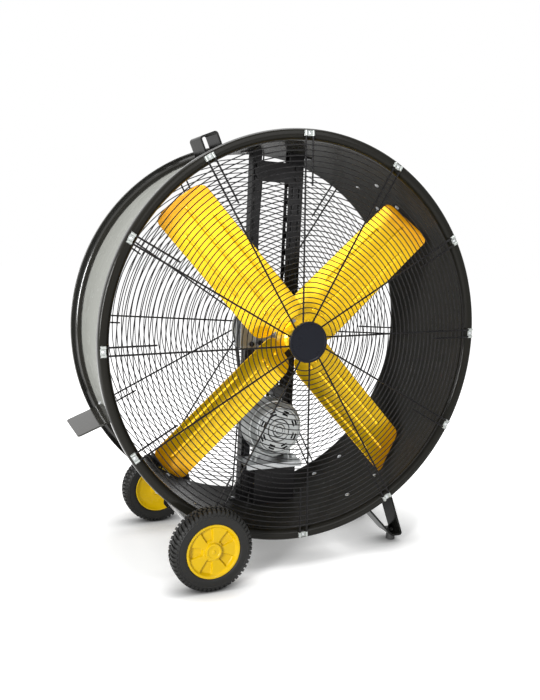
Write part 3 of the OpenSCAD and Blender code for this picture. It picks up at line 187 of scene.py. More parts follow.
# Coat texture: the height of orange peel with a few dust nibs, and a slow change of tone over the sheet.
coat_texture, given, wanted = new_group("coat texture", {"Grain": 700.0, "Nibs": 260.0},
                                        {"Height": "Float", "Tone": "Float", "Haze": "Float"})
spot = add_node(coat_texture, "TexCoord")
peel = add_node(coat_texture, "TexNoise", {"Vector": spot.outputs["Object"], "Scale": given.outputs["Grain"],
                                           "Detail": 2.0})
nibs = add_node(coat_texture, "TexVoronoi", {"Vector": spot.outputs["Object"], "Scale": given.outputs["Nibs"]})
nib_top = add_node(coat_texture, "MapRange", {"Value": nibs.outputs["Distance"], "From Min": 0.16, "From Max": 0.05})
peel_sum = add_node(coat_texture, "Math", {0: nib_top.outputs[0], 1: 0.5, 2: peel.outputs["Fac"]},
                    operation="MULTIPLY_ADD")
slow = add_node(coat_texture, "TexNoise", {"Vector": spot.outputs["Object"], "Scale": 3.2, "Detail": 3.0})
haze = add_node(coat_texture, "TexNoise", {"Vector": spot.outputs["Object"], "Scale": 17.0, "Detail": 6.0,
                                           "Roughness": 0.65})
coat_texture.links.new(peel_sum.outputs[0], wanted.inputs["Height"])
coat_texture.links.new(slow.outputs["Fac"], wanted.inputs["Tone"])
coat_texture.links.new(haze.outputs["Fac"], wanted.inputs["Haze"])

# Settled dust: thin on faces that look up, and uneven.
settled_dust, given, wanted = new_group("settled dust", {"Amount": 0.2}, {"Mask": "Float"})
facing = add_node(settled_dust, "SeparateXYZ", {0: add_node(settled_dust, "NewGeometry").outputs["Normal"]})
lies = add_node(settled_dust, "MapRange", {"Value": facing.outputs["Z"], "From Min": 0.35, "From Max": 1.0,
                                           "To Max": given.outputs["Amount"]})
spot = add_node(settled_dust, "TexCoord")
drift = add_node(settled_dust, "TexNoise", {"Vector": spot.outputs["Object"], "Scale": 38.0, "Detail": 8.0,
                                            "Roughness": 0.7})
dust_mask = add_node(settled_dust, "Math", {0: lies.outputs[0], 1: drift.outputs["Fac"]}, operation="MULTIPLY")
settled_dust.links.new(dust_mask.outputs[0], wanted.inputs["Mask"])


def place_group(tree, group, **values):
    """Puts a shared effect into a material with its own values; returns what the effect puts out."""
    made = tree.nodes.new("ShaderNodeGroup")
    made.node_tree = group
    for label, value in values.items():
        made.inputs[label].default_value = value
    return made.outputs


def blend_colours(tree, mask, first, second):
    """Second over first by a mask; each is a colour or a socket."""
    mix = tree.nodes.new("ShaderNodeMix")
    mix.data_type = "RGBA"
    for socket, value in ((mix.inputs["Factor"], mask), (mix.inputs["A"], first), (mix.inputs["B"], second)):
        if isinstance(value, bpy.types.NodeSocket):
            tree.links.new(value, socket)
        elif isinstance(value, tuple):
            socket.default_value = (*value, 1)
        else:
            socket.default_value = value
    return mix.outputs["Result"]


dust_colour = (0.42, 0.40, 0.36)
peel_height = 0.0006


def coated(name, colour, shade, bare=(0.30, 0.30, 0.31), rough=0.22, haze=0.12, peel=0.05, grain=700.0,
           rub=0.0012, rub_share=0.5, dust=0.12, metallic=0.0, gloss=0.5):
    """Powder coat, enamel or a moulded skin: two near tones, a fine grain, rubbed edges and a little dust."""
    material = bpy.data.materials.new(name)
    material.use_nodes = True
    tree = material.node_tree
    shader = tree.nodes["Principled BSDF"]
    shader.inputs["Metallic"].default_value = metallic
    shader.inputs["Specular IOR Level"].default_value = gloss
    coat = place_group(tree, coat_texture, Grain=grain)
    worn = place_group(tree, edge_rub, Radius=rub)
    dusty = place_group(tree, settled_dust, Amount=dust)
    tone = blend_colours(tree, coat["Tone"], colour, shade)
    worn_share = add_node(tree, "Math", {0: worn["Mask"], 1: rub_share}, operation="MULTIPLY")
    tone = blend_colours(tree, worn_share.outputs[0], tone, bare)
    tone = blend_colours(tree, dusty["Mask"], tone, dust_colour)
    tree.links.new(tone, shader.inputs["Base Color"])
    dull = add_node(tree, "MapRange", {"Value": coat["Haze"], "From Min": 0.3, "From Max": 0.7, "To Min": rough,
                                       "To Max": rough + haze})
    tree.links.new(dull.outputs[0], shader.inputs["Roughness"])
    bump = add_node(tree, "Bump", {"Height": coat["Height"], "Normal": worn["Normal"], "Strength": peel,
                                   "Distance": peel_height})
    tree.links.new(bump.outputs[0], shader.inputs["Normal"])
    return material


def revolved(profile, steps):
    """A bmesh turned from (radius, height) points round z; a profile that ends where it began is a closed section."""
    made = bmesh.new()
    closed = profile[0] == profile[-1]
    points = profile[:-1] if closed else profile
    columns = []
    for i in range(steps):
        a = radians(360 * i / steps)
        columns.append([made.verts.new((r * cos(a), r * sin(a), z)) for r, z in points])
    spans = len(points) if closed else len(points) - 1
    for i in range(steps):
        near, far = columns[i], columns[(i + 1) % steps]
        for k in range(spans):
            m = (k + 1) % len(points)
            made.faces.new((near[k], far[k], far[m], near[m]))
    bmesh.ops.remove_doubles(made, verts=made.verts, dist=1e-5)
    bmesh.ops.dissolve_degenerate(made, edges=made.edges, dist=1e-6)
    return made


def finish_piece(name, made, place, material, body, slot, *nodes, sharp=38):
    """Puts a bmesh in its place as a named piece that rides on a body and stands for its CAD nodes."""
    bmesh.ops.recalc_face_normals(made, faces=made.faces)
    made.transform(place)
    mesh = bpy.data.meshes.new(name)
    made.to_mesh(mesh)
    made.free()
    mesh.shade_smooth()
    mesh.set_sharp_from_angle(angle=radians(sharp))
    mesh.materials.append(material)
    piece = bpy.data.objects.new(name, mesh)
    bpy.context.scene.collection.objects.link(piece)
    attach(piece, body)
    if nodes:
        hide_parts(*nodes)
    return piece


def axis_distance(tree):
    """How far a point lies from the rotor's axis, in metres, for a coat that changes with the radius."""
    spot = add_node(tree, "TexCoord")
    from_axis = add_node(tree, "VectorMath", {0: spot.outputs["Object"], 1: (-AXIS_X, 0, -AXIS_Z)}, operation="ADD")
    flat_part = add_node(tree, "VectorMath", {0: from_axis.outputs[0], 1: (1, 0, 1)}, operation="MULTIPLY")
    return add_node(tree, "VectorMath", {0: flat_part.outputs[0]}, operation="LENGTH").outputs["Value"]


drum_coat = coated("drum_coat", (0.028, 0.028, 0.026), (0.038, 0.037, 0.034), rough=0.22, haze=0.08,
                   peel=0.025, dust=0.0, gloss=0.006)
tree = drum_coat.node_tree
coat_shader = tree.nodes["Principled BSDF"]
inside_tone = coat_shader.inputs["Base Color"].links[0].from_socket
wall_middle, wall_blend = 0.484, 0.0002
outside = add_node(tree, "MapRange", {"Value": axis_distance(tree), "From Min": wall_middle - wall_blend,
                                      "From Max": wall_middle + wall_blend})
outside_coat = place_group(tree, coat_texture, Grain=520.0)
# Painted reflection: the outside's light grey stands for the white room seen in the gloss black coat.
painted_reflection_grey, painted_reflection_grey_deep = (0.285, 0.290, 0.268), (0.270, 0.275, 0.253)
painted_reflection_tone = blend_colours(tree, outside_coat["Tone"], painted_reflection_grey, painted_reflection_grey_deep)
both_tones = blend_colours(tree, outside.outputs[0], inside_tone, painted_reflection_tone)
tree.links.new(both_tones, coat_shader.inputs["Base Color"])

mouth_r = 16
skin_half = half - mouth_r
finish_piece("drum_skin", revolved([(bore_r, -skin_half), (skin_r, -skin_half), (skin_r, skin_half),
                                    (bore_r, skin_half), (bore_r, -skin_half)], hoop_steps),
             front_view, drum_coat, "fan_body", "drum_skin", "drum_shell")

# Rims: steel rings rolled over both ends of the skin. Each has a rounded mouth, a flat crest and a lip turned back.
# They are powder coated black, and carry the guards' clips on the crest.
rim_black = coated("rim_black", (0.008, 0.008, 0.006), (0.012, 0.011, 0.009), rough=0.1, haze=0.06, dust=0.0,
                   gloss=0.1)
tree = rim_black.node_tree
lip_from, lip_to, lip_shine = 0.507, 0.510, 0.5
on_lip = add_node(tree, "MapRange", {"Value": axis_distance(tree), "From Min": lip_from, "From Max": lip_to,
                                     "To Max": lip_shine})
rim_shader = tree.nodes["Principled BSDF"]
tree.links.new(on_lip.outputs[0], rim_shader.inputs["Coat Weight"])
rim_shader.inputs["Coat Roughness"].default_value = 0.2
rim_shader.inputs["Coat IOR"].default_value = 1.6

rim_t, rim_r, rim_bend, rim_lip = 3, 510.9, 7, 18
collar_to, collar_t, lay_gap = 30, 2, 0.2
collar_r = skin_r + lay_gap
bend_middle = rim_r - rim_bend
outer_bend, inner_bend = ([(bend_middle + r * sin(radians(a)), rim_bend - r * cos(radians(a)))
                           for a in range(0, 91, 15)] for r in (rim_bend, rim_bend - rim_t))
outer_mouth, inner_mouth = ([(bore_r + mouth_r - r * cos(radians(a)), mouth_r - r * sin(radians(a)))
                             for a in range(0, 91, 10)] for r in (mouth_r, mouth_r - rim_t))
rim_profile = (outer_mouth + outer_bend + [(rim_r, rim_lip), (rim_r - rim_t, rim_lip)] + inner_bend[::-1]
               + inner_mouth[::-1] + [(collar_r + collar_t, collar_to), (collar_r, collar_to), (collar_r, mouth_r),
                                      outer_mouth[0]])
rear_view = (Matrix.Translation((AXIS_X, 0, AXIS_Z)) @ Matrix.Rotation(pi, 4, "Z") @ Matrix.Rotation(pi / 2, 4, "X")
             @ Matrix.Scale(MM, 4))
face_back = Matrix.Translation((0, 0, half)) @ Matrix.Rotation(pi, 4, "X")
finish_piece("front_rolled_rim", revolved(rim_profile, hoop_steps), front_view @ face_back, rim_black, "fan_body",
             "rim_black", "front_rim")

# Painted reflection: the rear rim is a lighter, glossier copy of the rims' black, standing for the grey sheen it
# shows.
rear_rim_sheen_black = coated("rear_rim_sheen_black", (0.017, 0.017, 0.014), (0.024, 0.023, 0.020), rough=0.12, haze=0.06,
                        dust=0.0, gloss=0.5)
finish_piece("rear_rolled_rim", revolved(rim_profile, hoop_steps), rear_view @ face_back, rear_rim_sheen_black, "fan_body",
             "rim_black", "rear_rim")

# Screws, bolts and axle rings: headed or turned from steel and zinc plated. The domed screws on the drum, the
# motor's bolts, the switch box's screws and the rings pressed on the axle all have the same plating.
zinc_metallic, zinc_edge, zinc_haze, zinc_rub = 0.9, (0.9, 0.9, 0.88), 0.18, 0.0006
mark_stretch, mark_height = (120, 2600, 2600), 0.0004


def zinc_plate(name, colour, shade, rough=0.3, scratch=0.06):
    """Zinc on steel: bright, in patches of two near tones, with fine drawing marks and paler edges."""
    material = bpy.data.materials.new(name)
    material.use_nodes = True
    tree = material.node_tree
    shader = tree.nodes["Principled BSDF"]
    shader.inputs["Metallic"].default_value = zinc_metallic
    spot = add_node(tree, "TexCoord")
    bloom = add_node(tree, "TexVoronoi", {"Vector": spot.outputs["Object"], "Scale": 130.0})
    cloud = add_node(tree, "TexNoise", {"Vector": spot.outputs["Object"], "Scale": 55.0, "Detail": 5.0})
    patch = add_node(tree, "Math", {0: bloom.outputs["Distance"], 1: cloud.outputs["Fac"]}, operation="MULTIPLY")
    tone = blend_colours(tree, patch.outputs[0], colour, shade)
    worn = place_group(tree, edge_rub, Radius=zinc_rub)
    tone = blend_colours(tree, worn["Mask"], tone, zinc_edge)
    tree.links.new(tone, shader.inputs["Base Color"])
    dull = add_node(tree, "MapRange", {"Value": cloud.outputs["Fac"], "From Min": 0.3, "From Max": 0.7,
                                       "To Min": rough, "To Max": rough + zinc_haze})
    tree.links.new(dull.outputs[0], shader.inputs["Roughness"])
    stretch = add_node(tree, "VectorMath", {0: spot.outputs["Object"], 1: mark_stretch}, operation="MULTIPLY")
    lines = add_node(tree, "TexNoise", {"Vector": stretch.outputs[0], "Scale": 1.0, "Detail": 2.0})
    bump = add_node(tree, "Bump", {"Height": lines.outputs["Fac"], "Normal": worn["Normal"], "Strength": scratch,
                                   "Distance": mark_height})
    tree.links.new(bump.outputs[0], shader.inputs["Normal"])
    return material


def finish_node(node, material):
    """Gives a CAD node that stays as it is its material."""
    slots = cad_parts[node].data.materials
    slots.clear()
    slots.append(material)


screw_zinc = zinc_plate("screw_zinc", (0.62, 0.63, 0.64), (0.40, 0.42, 0.45))
for node in ("drum_screws", "motor_bolts", "switch_screws", "axle_clips"):
    finish_node(node, screw_zinc)

# Guards: rings of round wire welded on radial wires and dipped in black. A long and a short radial wire lie side by
# side at each of the twelve clips, and the long ones meet under a round disc.
wire_black = coated("wire_black", (0.006, 0.006, 0.007), (0.010, 0.009, 0.009), rough=0.24, haze=0.12,
                    grain=500.0, rub=0.0005, rub_share=0.15, dust=0.0, gloss=0.14)
ring_count, ring_first_r, ring_pitch, ring_wire = 33, 72, 12.5, 2.6
ring_least_sides, ring_sides_per_mm, spoke_sides = 56, 0.3, 12
ring_z, spoke_z, spoke_wire, spoke_gap = 196.0, 192.45, 4.5, 19
clip_count, clip_start = 12, 2.2
long_spoke_from, short_spoke, spoke_end = 41, 130, 506.5


def guard_wires():
    """Rings and radial wires of one guard as one bmesh."""
    made = bmesh.new()

    def join(other, place):
        """Adds another bmesh in its place."""
        other.transform(place)
        scratch = bpy.data.meshes.new("scratch")
        other.to_mesh(scratch)
        other.free()
        made.from_mesh(scratch)
        bpy.data.meshes.remove(scratch)

    for i in range(ring_count):
        r = ring_first_r + i * ring_pitch
        section = [(r + ring_wire / 2 * cos(radians(a)), ring_wire / 2 * sin(radians(a))) for a in range(0, 361, 45)]
        section[-1] = section[0]
        join(revolved(section, int(ring_least_sides + r * ring_sides_per_mm)), Matrix.Translation((0, 0, ring_z)))
    wire_r, cut_edge = spoke_wire / 2, 0.7
    for i in range(clip_count):
        turn = Matrix.Rotation(radians(clip_start + i * 360 / clip_count), 4, "Z")
        for side, start in ((1, long_spoke_from), (-1, spoke_end - short_spoke)):
            profile = [(0, start), (wire_r * cut_edge, start), (wire_r, start + cut_edge),
                       (wire_r, spoke_end - cut_edge), (wire_r * cut_edge, spoke_end), (0, spoke_end)]
            lay = turn @ Matrix.Translation((0, side * spoke_gap / 2, spoke_z)) @ Matrix.Rotation(pi / 2, 4, "Y")
            join(revolved(profile, spoke_sides), lay)
    return made


for side, lay in (("front", front_view), ("rear", rear_view)):
    finish_piece(side + "_guard_wires", guard_wires(), lay, wire_black, "fan_body", "wire_black",
                 side + "_guard_rings", side + "_guard_spokes")

# Guard clips: short zinc plated sheets bent over both wires of a pair, each held on the rim's crest by one screw.
# The screw's low head has a cross recess.
clip_r, clip_long, clip_sheet, clip_tab, hump_out = 499, 12.5, 1.1, 13.2, 3.4
screw_head_r, screw_head_h, shank_r, shank_down = 3.6, 2.2, 1.8, 4
recess_half, recess_long, recess_deep = 0.6, 2.4, 1.1


def clip_line(hump, height):
    """One face of a clip, seen along the rim: from tab to tab, over both wires, with humps of a radius."""
    wire_y, wire_z = spoke_gap / 2, spoke_z - half
    right = [(clip_tab, height), (wire_y + hump, height), (wire_y + hump, wire_z)]
    right += [(wire_y + hump * cos(radians(a)), wire_z + hump * sin(radians(a))) for a in range(15, 180, 15)]
    right += [(wire_y - hump, wire_z), (wire_y - hump, height)]
    return right + [(-y, z) for y, z in reversed(right)]


def at_clip(i, z):
    """The place of one clip on the rim, at a height over the drum's middle."""
    return (Matrix.Rotation(radians(clip_start + i * 360 / clip_count), 4, "Z")
            @ Matrix.Translation((clip_r, 0, z)))


def guard_clips():
    """Twelve bent sheets round the rim, in the guard's own frame."""
    made = bmesh.new()
    top, under = clip_line(hump_out, clip_sheet), clip_line(hump_out - clip_sheet, 0)
    for i in range(clip_count):
        lay = at_clip(i, half + lay_gap)
        ends = []
        for x in (-clip_long / 2, clip_long / 2):
            ends.append([[made.verts.new(lay @ Vector((x, y, z))) for y, z in line] for line in (top, under)])
        for k in range(len(top) - 1):
            for line in (0, 1):
                near, far = ends[0][line], ends[1][line]
                made.faces.new((near[k], near[k + 1], far[k + 1], far[k]))
            for end in ends:
                made.faces.new((end[0][k], end[0][k + 1], end[1][k + 1], end[1][k]))
        for k in (0, -1):
            made.faces.new((ends[0][0][k], ends[0][1][k], ends[1][1][k], ends[1][0][k]))
    return made


def clip_screw_heads():
    """A domed head with a cross recess and a short shank on each clip, in the guard's own frame."""
    made = bmesh.new()
    steps = 48
    outline = ((shank_r, -shank_down), (shank_r, 0), (screw_head_r, 0), (screw_head_r, 0.5), (3.3, 1.3), (2.6, 1.8),
               (1.7, 2.1), (1.0, screw_head_h), (0.5, screw_head_h))
    for i in range(clip_count):
        lay = at_clip(i, half + lay_gap + clip_sheet)
        rings = []
        for r, z in outline:
            ring = []
            for k in range(steps):
                x, y = r * cos(2 * pi * k / steps), r * sin(2 * pi * k / steps)
                low, high = sorted((abs(x), abs(y)))
                arm = low < recess_half and high < recess_long and z > screw_head_h / 2
                ring.append(made.verts.new(lay @ Vector((x, y, z - (recess_deep if arm else 0)))))
            rings.append(ring)
        for near, far in zip(rings, rings[1:]):
            for k in range(steps):
                made.faces.new((near[k], near[(k + 1) % steps], far[(k + 1) % steps], far[k]))
        made.faces.new(rings[0][::-1])
        made.faces.new(rings[-1])
    return made


clip_zinc = zinc_plate("clip_zinc", (0.38, 0.40, 0.385), (0.26, 0.28, 0.27), rough=0.4)
for side, lay in (("front", front_view), ("rear", rear_view)):
    finish_piece(side + "_guard_clips_bent", guard_clips(), lay, clip_zinc, "fan_body", "clip_zinc",
                 side + "_guard_clips", sharp=30)
    finish_piece(side + "_clip_screws", clip_screw_heads(), lay, screw_zinc, "fan_body", "screw_zinc",
                 "clip_screws", sharp=30)

# Badge and rear disc: the badge is a blank plastic moulding, blue-black, with a raised edge round a shallow dish.
# It sits where the front guard's long wires meet. At the rear they meet under a plain steel disc in the rims' black.
badge_black = coated("badge_black", (0.003, 0.0035, 0.007), (0.005, 0.006, 0.010), rough=0.24, haze=0.1,
                     rub=0.0004, rub_share=0.15, dust=0.0, gloss=0.14)
finish_node("front_badge", badge_black)
finish_node("rear_guard_hub", rim_black)

# Uprights and plates: slotted steel channels, a cross plate and the motor's folded bracket, all coated satin black.
# Two zinc plated plates, bolted across the uprights, carry the bearings, and a third one carries the motor.
frame_black = coated("frame_black", (0.006, 0.006, 0.007), (0.010, 0.009, 0.009), rough=0.28, haze=0.15,
                     dust=0.03, gloss=0.2)
plate_zinc = zinc_plate("plate_zinc", (0.48, 0.49, 0.49), (0.32, 0.34, 0.36))
for node in ("left_upright", "right_upright", "top_cross_plate", "motor_bracket", "plate_bolts"):
    finish_node(node, frame_black)
for node in ("front_bearing_plate", "rear_bearing_plate", "motor_plate"):
    finish_node(node, plate_zinc)

# Bearing housings and pulleys: iron castings, machined where they seat and painted grey over the rest.
# The housings are bolted on the bearing plates; the large driven pulley is lighter than the motor's small one.
cast_dark = coated("cast_dark", (0.17, 0.175, 0.17), (0.24, 0.24, 0.235), rough=0.4, haze=0.2, peel=0.25,
                   grain=320.0, metallic=0.6)
for node in ("bearing_housings", "motor_pulley"):
    finish_node(node, cast_dark)
cast_light = coated("cast_light", (0.30, 0.305, 0.27), (0.38, 0.38, 0.35), rough=0.4, haze=0.2, peel=0.25,
                    grain=320.0, metallic=0.5)
finish_node("fan_pulley", cast_light)

# Shafts and axle: turned from ground steel bar, with chamfered ends. The rings in which the fan shaft turns, the
# two set collars that keep it from sliding and the motor's core are of the same bright steel.
steel = zinc_plate("steel", (0.55, 0.55, 0.55), (0.38, 0.38, 0.39), rough=0.28)
for node in ("bearing_inserts", "fan_shaft", "shaft_collars", "axle", "motor_rotor"):
    finish_node(node, steel)

# Blades: four pressed steel sheets, hollow across the chord, with three long beads each, on the arms of a cast hub.
# Round-headed bolts hold them. All are enamelled in one warm yellow; the deeper orange towards the blades' tips is
# painted shade.
blade_yellow = coated("blade_yellow", (1.0, 0.65, 0.006), (0.98, 0.59, 0.005), bare=(0.95, 0.72, 0.20),
                      rough=0.12, haze=0.06, rub_share=0.3, dust=0.0, metallic=0.45, gloss=0.5)
tree = blade_yellow.node_tree
blade_shader = tree.nodes["Principled BSDF"]
blade_tone = blade_shader.inputs["Base Color"].links[0].from_socket
# Painted shade: the yellow deepens to orange towards the tips, where the dark drum shades them.
painted_tip_shade, tip_shade_from, tip_shade_to = (0.86, 0.36, 0.002), 0.36, 0.47
tip_shade_mask = add_node(tree, "MapRange", {"Value": axis_distance(tree), "From Min": tip_shade_from, "From Max": tip_shade_to},
                    interpolation_type="SMOOTHSTEP")
tree.links.new(blend_colours(tree, tip_shade_mask.outputs[0], blade_tone, painted_tip_shade), blade_shader.inputs["Base Color"])

blade_count, rotor_z, blade_start, blade_pitch = 4, 109, 43.6, 26
blade_root, blade_tip, blade_half, blade_t, hollow_r = 40, 457, 73, 2, 250
root_lobe, tip_corner, tip_back = 36, 20, 5
row_gap, row_points, soft_edge, sharp_turn = 1.6, 100, 0.6, 50
beads, bead_half, bead_rise = ((-46, 180, 372), (-3, 128, 424), (40, 180, 372)), 5.0, 3.2


def blade_ends(y):
    """Where the blade begins and ends along x at a distance y from its middle line."""
    y = abs(y)
    flat_root, flat_tip = blade_half - root_lobe, blade_half - tip_corner
    begin = blade_root if y < flat_root else (
        blade_root + root_lobe - sqrt(max(root_lobe ** 2 - (y - flat_root) ** 2, 0)))
    if y < flat_tip:
        return begin, sqrt(blade_tip ** 2 - y ** 2)
    return begin, blade_tip - tip_corner - tip_back + sqrt(max(tip_corner ** 2 - (y - flat_tip) ** 2, 0))


def blade_height(x, y):
    """The hollow of the sheet with its beads, which run out softly at both ends."""
    z = hollow_r - sqrt(hollow_r ** 2 - y ** 2)
    for line, bead_from, bead_to in beads:
        along = max(bead_from - x, x - bead_to, 0)
        off = sqrt((y - line) ** 2 + along ** 2) / bead_half
        if off < 1:
            z += bead_rise * (1 - off * off) ** 1.5
    return z


def blade_sheet():
    """One blade on its own axes, x along it and y across: a hollow sheet given its thickness, with softened edges."""
    flat_half = blade_half - root_lobe
    side = [i * row_gap for i in range(int(flat_half / row_gap) + 1)] + [flat_half]
    side += [flat_half + root_lobe * sin(radians(a)) for a in range(3, 91, 3)]
    across = [-y for y in reversed(side[1:])] + side
    made = bmesh.new()
    rows = []
    for y in across:
        begin, end = blade_ends(y)
        row = []
        for i in range(row_points + 1):
            x = begin + (end - begin) * i / row_points
            row.append(made.verts.new((x, y, blade_height(x, y))))
        rows.append(row)
    for near, far in zip(rows, rows[1:]):
        for i in range(row_points):
            made.faces.new((near[i], near[i + 1], far[i + 1], far[i]))
    bmesh.ops.recalc_face_normals(made, faces=made.faces)
    if sum(face.normal.z for face in made.faces) < 0:
        bmesh.ops.reverse_faces(made, faces=made.faces)
    bmesh.ops.solidify(made, geom=made.faces[:], thickness=blade_t)
    rim = [edge for edge in made.edges
           if len(edge.link_faces) == 2 and edge.calc_face_angle() > radians(sharp_turn)]
    bmesh.ops.bevel(made, geom=rim, offset=soft_edge, segments=2, profile=0.5, affect="EDGES")
    return made


for i in range(blade_count):
    turned_to = radians(blade_start + i * 360 / blade_count)
    lay = (front_view @ Matrix.Translation((0, 0, rotor_z)) @ Matrix.Rotation(turned_to, 4, "Z")
           @ Matrix.Rotation(radians(-blade_pitch), 4, "X"))
    finish_piece("pressed_blade_%d" % (i + 1), blade_sheet(), lay, blade_yellow, "rotor", "blade_yellow",
                 "blade_%d" % (i + 1))
for node in ("fan_hub", "blade_bolts"):
    finish_node(node, blade_yellow)

# Motor: cast aluminium covers on a round frame, held in a bent cradle, all in silver paint, with a black capacitor
# can on top. The front cover has a flat face with eight pairs of short vents round its raised rings; the vents and
# the grooves between the rings are coloured near black as painted shade.
motor_grey = coated("motor_grey", (0.42, 0.435, 0.43), (0.33, 0.345, 0.345), rough=0.3, haze=0.14, peel=0.15,
                    grain=420.0, metallic=0.6)
for node in ("motor_frame", "motor_rear_bell", "motor_foot"):
    finish_node(node, motor_grey)
painted_vent_shade = coated("painted_vent_shade", (0.006, 0.006, 0.006), (0.009, 0.009, 0.009), rough=0.6, dust=0.0, gloss=0.1)
motor_r, motor_drop, face_z, shoulder_z = 77, 257, 60, 24.2
vent_count, vent_rings, vent_half, vent_reach, vent_deep = 8, (44.5, 52.5), 2.2, 8, 9
vent_wall, face_least, cover_steps = 0.15, 50, 576


def motor_cover():
    """Front cover turned on a lathe, with short curved vents let into its face."""
    front = [(0, face_z), (8.6, face_z), (9.4, 59.2), (9.4, 56.4), (10.6, 56.4), (10.8, 59), (15.6, 59),
             (16, 58.4), (16, 54.4), (18.2, 54.4), (18.6, 57.4), (28.4, 57.4), (28.8, 57), (28.8, 52.6),
             (31.4, 52.6), (31.8, 56.4)]
    for ring in vent_rings:
        low, high = ring - vent_half, ring + vent_half
        front += [(r, 56.8) for r in (low - vent_wall, low + vent_wall, high - vent_wall, high + vent_wall)]
    front += [(57.4, 56.6), (57.9, 54.6), (59.1, 54.6), (59.6, 56.2), (62.8, 56), (64, 54.8), (64.4, 47), (67, 42),
              (70, 39), (71.4, 36), (72, 31.6), (75.6, 31), (motor_r, 29.4), (motor_r, shoulder_z)]
    back = [(69, shoulder_z), (69, 30), (60, 36), (34, 38), (22, 40), (0, 40)]
    made = revolved(front + back, cover_steps)
    vent_turn = 360 / vent_count
    for v in made.verts:
        r, a = sqrt(v.co.x ** 2 + v.co.y ** 2), atan2(v.co.y, v.co.x) * 180 / pi
        off = radians(abs(a % vent_turn - vent_turn / 2)) * r
        for ring in vent_rings:
            if v.co.z > face_least and abs(r - ring) < vent_half and off < vent_reach:
                v.co.z -= vent_deep
    return made


motor_view = front_view @ Matrix.Translation((0, -motor_drop, 0))
cover = finish_piece("motor_front_cover", motor_cover(), motor_view, motor_grey, "fan_body", "motor_grey",
                     "motor_front_bell", sharp=25)
cover.data.materials.append(painted_vent_shade)
# Painted shade: the vents' walls and floors and the grooves' floors take the near-black material.
groove_floors = ((9.3, 10.7, 56.4), (15.9, 18.3, 54.4), (28.7, 31.5, 52.6), (57.8, 59.2, 54.6))
vent_shade_from, vent_shade_to, vent_margin, groove_shade = 45, 55.5, 0.2, 1.6
for face in cover.data.polygons:
    spot_local = motor_view.inverted() @ face.center
    r, z = sqrt(spot_local.x ** 2 + spot_local.y ** 2), spot_local.z
    over_vent = any(abs(r - ring) < vent_half + vent_margin for ring in vent_rings)
    in_vent = over_vent and vent_shade_from < z < vent_shade_to
    in_groove = any(low < r < high and abs(z - floor_z) < groove_shade for low, high, floor_z in groove_floors)
    if in_vent or in_groove:
        face.material_index = 1

winding = coated("winding", (0.20, 0.07, 0.02), (0.12, 0.04, 0.015), rough=0.35, metallic=0.4)
finish_node("motor_stator", winding)
can_black = coated("can_black", (0.012, 0.012, 0.013), (0.02, 0.02, 0.02), rough=0.25)
finish_node("capacitor", can_black)

# Belt and feet: the drive's V belt is a closed band of black rubber that runs in the grooves of both pulleys.
# The two feet are moulded rubber blocks, each with a stud that holds it in its leg.
belt_rubber = coated("belt_rubber", (0.015, 0.015, 0.015), (0.025, 0.025, 0.024), rough=0.6, peel=0.3,
                     grain=300.0, rub_share=0.2)
finish_node("v_belt", belt_rubber)
foot_rubber = coated("foot_rubber", (0.02, 0.02, 0.02), (0.03, 0.03, 0.029), rough=0.6, peel=0.3)
finish_node("leg_feet", foot_rubber)

# Tyres: moulded from solid rubber and pressed on the wheel centres. The sides are smooth, and two rows of slanted
# lugs, set half a lug apart, run over the shoulders and meet in a zigzag on the tread.
tyre_black = coated("tyre_black", (0.009, 0.009, 0.009), (0.014, 0.014, 0.013), bare=(0.05, 0.05, 0.048),
                    rough=0.42, peel=0.3, grain=300.0, rub_share=0.2, dust=0.03, gloss=0.16)
axle_left, axle_down, wheel_mid = -249, -484, 241
lug_count, lug_share, lug_skew, tyre_half = 54, 0.6, 2.6, 25
tyre_steps = 4 * lug_count
wheel_places = [("front", Matrix.Translation((axle_left, axle_down, wheel_mid))),
                ("rear", Matrix.Translation((axle_left, axle_down, -wheel_mid)) @ Matrix.Rotation(pi, 4, "Y"))]


def tyre_body():
    """A closed ring of rubber with its lugs as closed blocks let into it, the wheel's axis as z."""
    side = [(66.2, 19), (67, 22.4), (69, 24.2), (73, 24.9), (80, 24.7), (84.6, 24.3), (85.2, 24.9), (86.8, 24.9),
            (87.4, 24.1), (91, 22.4), (93.6, 19), (94.6, 14), (95, 6)]
    ring = [(r, -z) for r, z in side] + [(r, z) for r, z in reversed(side)]
    made = revolved(ring + [ring[0]], tyre_steps)
    lug = [(93, 1.4), (99.5, 1.4), (99.9, 7), (99.4, 15), (97.8, 19.6), (94.4, 23), (89.6, 24.9), (88, 23.4)]
    pitch = 360 / lug_count
    for flip in (1, -1):
        for i in range(lug_count):
            start = (i + (0.5 if flip < 0 else 0)) * pitch
            rings = []
            for edge in (0, lug_share * pitch):
                ring = []
                for r, z in lug:
                    a = radians(start + edge + lug_skew * z / tyre_half)
                    ring.append(made.verts.new((r * cos(a), r * sin(a), flip * z)))
                rings.append(ring)
            count = len(lug)
            for k in range(count):
                made.faces.new((rings[0][k], rings[0][(k + 1) % count], rings[1][(k + 1) % count], rings[1][k]))
            made.faces.new(rings[0])
            made.faces.new(rings[1][::-1])
    return made


for side, lay in wheel_places:
    finish_piece(side + "_rubber_tyre", tyre_body(), front_view @ lay, tyre_black, side + "_wheel", "tyre_black",
                 side + "_tyre")

# Straps: the handle, both legs and the axle's brackets are bent from wide flat steel bar and coated gloss black.
# The flat tread of the foot step is of the same steel. All are screwed to the drum through tabs.
strap_black = coated("strap_black", (0.004, 0.004, 0.004), (0.007, 0.007, 0.006), rough=0.12, haze=0.08,
                     dust=0.02, gloss=0.1)
for node in ("top_handle", "front_leg", "rear_leg", "axle_brackets"):
    finish_node(node, strap_black)
step_black = coated("step_black", (0.018, 0.018, 0.015), (0.026, 0.025, 0.021), rough=0.06, haze=0.03,
                    peel=0.03, dust=0.06, gloss=0.35)
finish_node("tilt_step", step_black)

